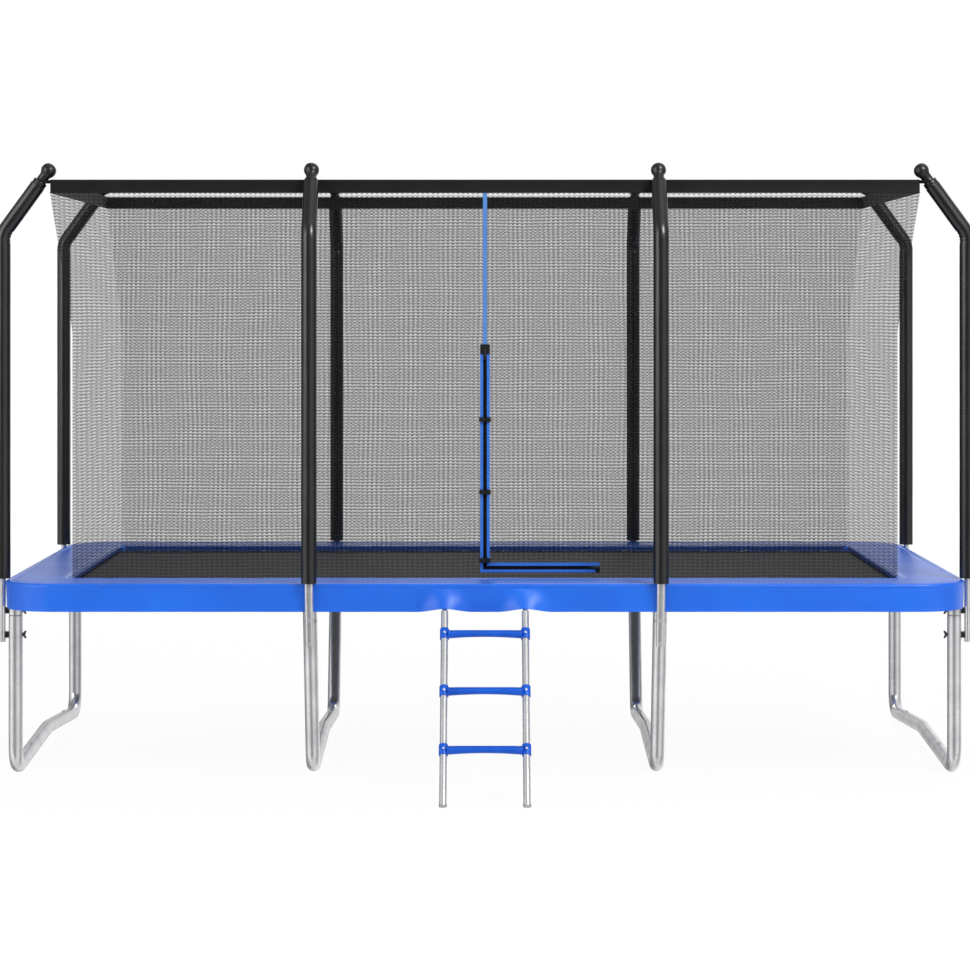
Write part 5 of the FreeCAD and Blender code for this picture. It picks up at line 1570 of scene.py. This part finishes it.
def makeLadderRail(name, sign):
    mesh = bmesh.new()
    x = sign * l["halfWidth"]
    head = ladderPoint(l["headZ"], x)
    path = [head, ladderPoint(0.4, x), ladderPoint(l["tubeFoot"], x)]
    rings = sweep(mesh, path, circle(l["tube"]), right, ends=("shut", "open"), wall=l["tubeWall"])
    for ring, lift in ((rings[-4], l["footEdge"]), (rings[-3], 0.0), (rings[-2], 0.0)):
        for vert in ring:
            vert.co = cutLevel(vert.co, l["tubeFoot"] + lift)
    radius = l["hookInner"] + l["hookThickness"] / 2
    centre = Vector((x, -f["railY"], f["railLevel"]))
    angles = [math.radians(a) for a in range(2, 181, 6)]
    path = [centre + Vector((0, radius * math.cos(angle), radius * math.sin(angle))) for angle in angles]
    path.append(centre + Vector((0, -radius, -l["cheek"])))
    path.append(centre + Vector((0, -radius - 0.001, -l["cheek"] - l["hookTang"])))
    path.append(head + ladderDown * 0.006)
    sweepShut(mesh, path, flatOval(l["hookWidth"], l["hookThickness"], 20), right)
    makePiece(f"ladderRail{name.title()}", mesh, galvanised, ladderBody, [f"ladder_rail_{name}"])


# Low end caps, cut level like the tubes' feet
def makeFootCaps():
    mesh = bmesh.new()
    fit = l["tube"] + l["capGap"]
    outer = fit + l["capWall"]
    top, edge = l["capLevel"], l["capEdge"]
    profile = [(fit, l["capFloor"]), (fit, top - edge), (fit, top), (outer - edge, top), (outer, top - edge),
               (outer, edge * 2), (outer - edge, edge / 2), (outer - edge * 2, 0)]
    for sign in (1, -1):
        foot = ladderPoint(0, sign * l["halfWidth"])
        rings = []
        for radius, level in profile:
            rings.append([mesh.verts.new(cutLevel(foot + spoke * radius, level))
                          for spoke in spokes(right, ladderDown.cross(right), 40)])
        bridge(mesh, rings, capped=True)
    makePiece("ladderFootCaps", mesh, greyRubber, ladderBody, ["ladder_feet"])


# Step: a rounded bar arched underneath, running into a sleeve at either end, with ridges on top
def makeStep(name, level):
    mesh = bmesh.new()
    middle = ladderPoint(level, 0)
    rings = []
    for i in range(l["stations"] + 1):
        share = 2 * i / l["stations"] - 1
        lift = l["arch"] * (1 - share ** 2)
        swell = 1 - 0.05 * math.exp(-((1 - abs(share)) / 0.08) ** 2)
        height = l["stepHeight"] - lift
        ring = []
        edge = min(l["stepEdge"], height * l["stepRound"])
        for u, v in roundedRectangle(l["stepDepth"] * swell, height * l["stepFit"], edge, 6):
            crown = -l["crown"] * (2 * u / l["stepDepth"]) ** 2 if v > 0 else 0.0
            under = max(0.0, -v / (height / 2)) ** 2
            narrowed = u * (1 - 2 * l["roll"] / l["stepDepth"] * under)
            spot = Vector((l["barHalf"] * share, narrowed, v + lift / 2 + crown))
            ring.append(mesh.verts.new(middle + spot))
        rings.append(ring)
    bridge(mesh, rings, capped=True)
    for row in range(-3, 4):
        y = row * l["ridgePitch"]
        top = l["stepHeight"] / 2 - l["crown"] * (2 * y / l["stepDepth"]) ** 2 - l["ridgeSink"]
        line = [middle + Vector((x * l["ridgeHalf"], y, top)) for x in (-1, 0, 1)]
        sweepShut(mesh, line, circle(l["ridgeRadius"], 10), up, 0.0008)
    half = l["sleeveLength"] / 2
    bore = l["tube"] + l["boreGap"]
    outer = l["sleeveRadius"]
    lower = [(bore, -half + 0.003), (bore, -half), (outer - 0.0025, -half), (outer - 0.0006, -half + 0.0008),
             (outer, -half + 0.003)]
    profile = lower + [(radius, -height) for radius, height in lower[::-1]]
    for sign in (1, -1):
        revolve(mesh, profile, ladderPoint(level, sign * l["halfWidth"]), ladderDown)
    makePiece(f"ladderStep{name.title()}", mesh, bluePlastic, ladderBody, [f"ladder_step_{name}"])


def makeStepScrews():
    spots = []
    for level in l["stepLevels"].values():
        for sign in (1, -1):
            seat = ladderPoint(level, sign * l["halfWidth"]) + ladderFront * l["sleeveRadius"]
            spots.append((seat, ladderFront))
    makeScrews("stepScrews", "step_screws", ladderBody, spots, l["screwHead"], l["screwLength"])


makeLadderRail("right", 1)
makeLadderRail("left", -1)
makeFootCaps()
for name, level in l["stepLevels"].items():
    makeStep(name, level)
makeStepScrews()
print("ladder made")


# Stage, light and camera
studio = {
    "floorHalf": 40.0, "floorDrop": 0.0005, "floorShadow": 0.05, "fadeStart": 4.0, "fadeEnd": 12.0,
    "worldLight": 0.62, "bandPeak": 1.15, "skyShade": 0.06, "skyPeak": 0.88, "skyStart": -0.5, "skyEnd": 0.12,
    "skyFoot": 0.55, "skyTop": 0.92, "groundTone": 0.8, "groundTop": -0.75, "groundFoot": -0.97,
    "bands": [(0.0, 0.6), (0.1, 0.12), (0.2, 0.3), (0.29, 1.0), (0.37, 0.8), (0.45, 0.1), (0.5, 0.16),
              (0.58, 0.62), (0.63, 0.85), (0.71, 0.5), (0.775, 0.22), (0.86, 0.7), (0.94, 0.9), (1.0, 0.6)],
    "lamps": {"key": ((5.0, -7.0, 7.5), (0, 0, 1.2), 3.0, 620),
              "fill": ((-7.0, -6.0, 4.0), (0, 0, 1.2), 5.0, 220),
              "back": ((0.0, 8.0, 7.0), (0, 0, 1.4), 5.0, 260)},
    "viewer": (0, -14.485, 2.08), "lens": 111.6, "sensor": 36, "shift": -0.179,
}


# White floor that keeps only a faint shadow, and none far from the object
def makeFloor():
    mesh = bmesh.new()
    for signX, signY in ((-1, -1), (1, -1), (1, 1), (-1, 1)):
        mesh.verts.new((signX * studio["floorHalf"], signY * studio["floorHalf"], -studio["floorDrop"]))
    mesh.faces.new(mesh.verts)
    material, tree, surface = newMaterial("paleFloor", Roughness=0.9, Base_Color=rgb(250, 250, 250))
    path = addNode(tree, "ShaderNodeLightPath")
    away = addNode(tree, "ShaderNodeVectorMath", {0: objectPlace(tree)}, operation="LENGTH")
    fade = ranged(tree, away.outputs["Value"], studio["fadeStart"], studio["fadeEnd"],
                  1 - studio["floorShadow"])
    seen = maths(tree, "MAXIMUM", path.outputs["Is Camera Ray"], path.outputs["Is Transmission Ray"])
    share = maths(tree, "MULTIPLY", seen, fade)
    glow = addNode(tree, "ShaderNodeEmission", {"Color": (1, 1, 1, 1)})
    mix = addNode(tree, "ShaderNodeMixShader", {0: share, 1: surface.outputs[0], 2: glow.outputs[0]})
    tree.links.new(mix.outputs[0], tree.nodes["Material Output"].inputs[0])
    floor = makePiece("floor", mesh, material, None)
    floor.visible_glossy = False


# White backdrop; polished pieces see it with the dark gaps between a studio's soft boxes
def makeWorld():
    world = bpy.data.worlds.new("studio")
    bpy.context.scene.world = world
    world.use_nodes = True
    tree = world.node_tree
    path = addNode(tree, "ShaderNodeLightPath")
    around = addNode(tree, "ShaderNodeTexCoord").outputs["Generated"]
    heading = addNode(tree, "ShaderNodeSeparateXYZ", {0: around})
    bearing = maths(tree, "ARCTAN2", heading.outputs[0], maths(tree, "MULTIPLY", heading.outputs[1], -1.0))
    turn = maths(tree, "MULTIPLY_ADD", bearing, 1 / (2 * math.pi), 0.5)
    ramp = addNode(tree, "ShaderNodeValToRGB", {"Fac": turn})
    ramp.color_ramp.interpolation = "EASE"
    stops = ramp.color_ramp.elements
    for place, level in studio["bands"]:
        stop = stops[0] if place == 0 else stops[-1] if place == 1 else stops.new(place)
        stop.color = (level, level, level, 1)
    band = maths(tree, "MULTIPLY", ramp.outputs[0], studio["bandPeak"])
    high = ranged(tree, heading.outputs[2], studio["skyFoot"], studio["skyTop"])
    sky = ranged(tree, heading.outputs[0], studio["skyStart"], studio["skyEnd"], studio["skyShade"],
                 studio["skyPeak"])
    shown = maths(tree, "MULTIPLY_ADD", maths(tree, "SUBTRACT", sky, band), high, band)
    sunk = ranged(tree, heading.outputs[2], studio["groundTop"], studio["groundFoot"])
    shown = maths(tree, "MULTIPLY_ADD", maths(tree, "SUBTRACT", studio["groundTone"], shown), sunk, shown)
    mirrored = maths(tree, "SUBTRACT", shown, studio["worldLight"])
    glossy = maths(tree, "MULTIPLY", path.outputs["Is Glossy Ray"], mirrored)
    base = maths(tree, "ADD", glossy, studio["worldLight"])
    seen = maths(tree, "MAXIMUM", path.outputs["Is Camera Ray"], path.outputs["Is Transmission Ray"])
    strength = maths(tree, "MULTIPLY_ADD", seen, maths(tree, "SUBTRACT", 1.0, base), base)
    background = tree.nodes["Background"]
    background.inputs["Color"].default_value = (1, 1, 1, 1)
    tree.links.new(strength, background.inputs["Strength"])


def addLamp(name, place, target, size, power):
    data = bpy.data.lights.new(name, "AREA")
    data.size = size
    data.energy = power
    lamp = bpy.data.objects.new(name, data)
    lamp.location = place
    lamp.rotation_euler = (Vector(target) - Vector(place)).to_track_quat("-Z", "Y").to_euler()
    bpy.context.collection.objects.link(lamp)


def addCamera():
    camera = bpy.data.cameras.new("camera")
    camera.lens = studio["lens"]
    camera.sensor_width = studio["sensor"]
    camera.shift_y = studio["shift"]
    viewer = bpy.data.objects.new("camera", camera)
    viewer.location = studio["viewer"]
    viewer.rotation_euler = (math.pi / 2, 0, 0)
    bpy.context.collection.objects.link(viewer)
    bpy.context.scene.camera = viewer


makeFloor()
makeWorld()
for name, settings in studio["lamps"].items():
    addLamp(name, *settings)
addCamera()
bpy.context.scene.view_settings.view_transform = "Standard"
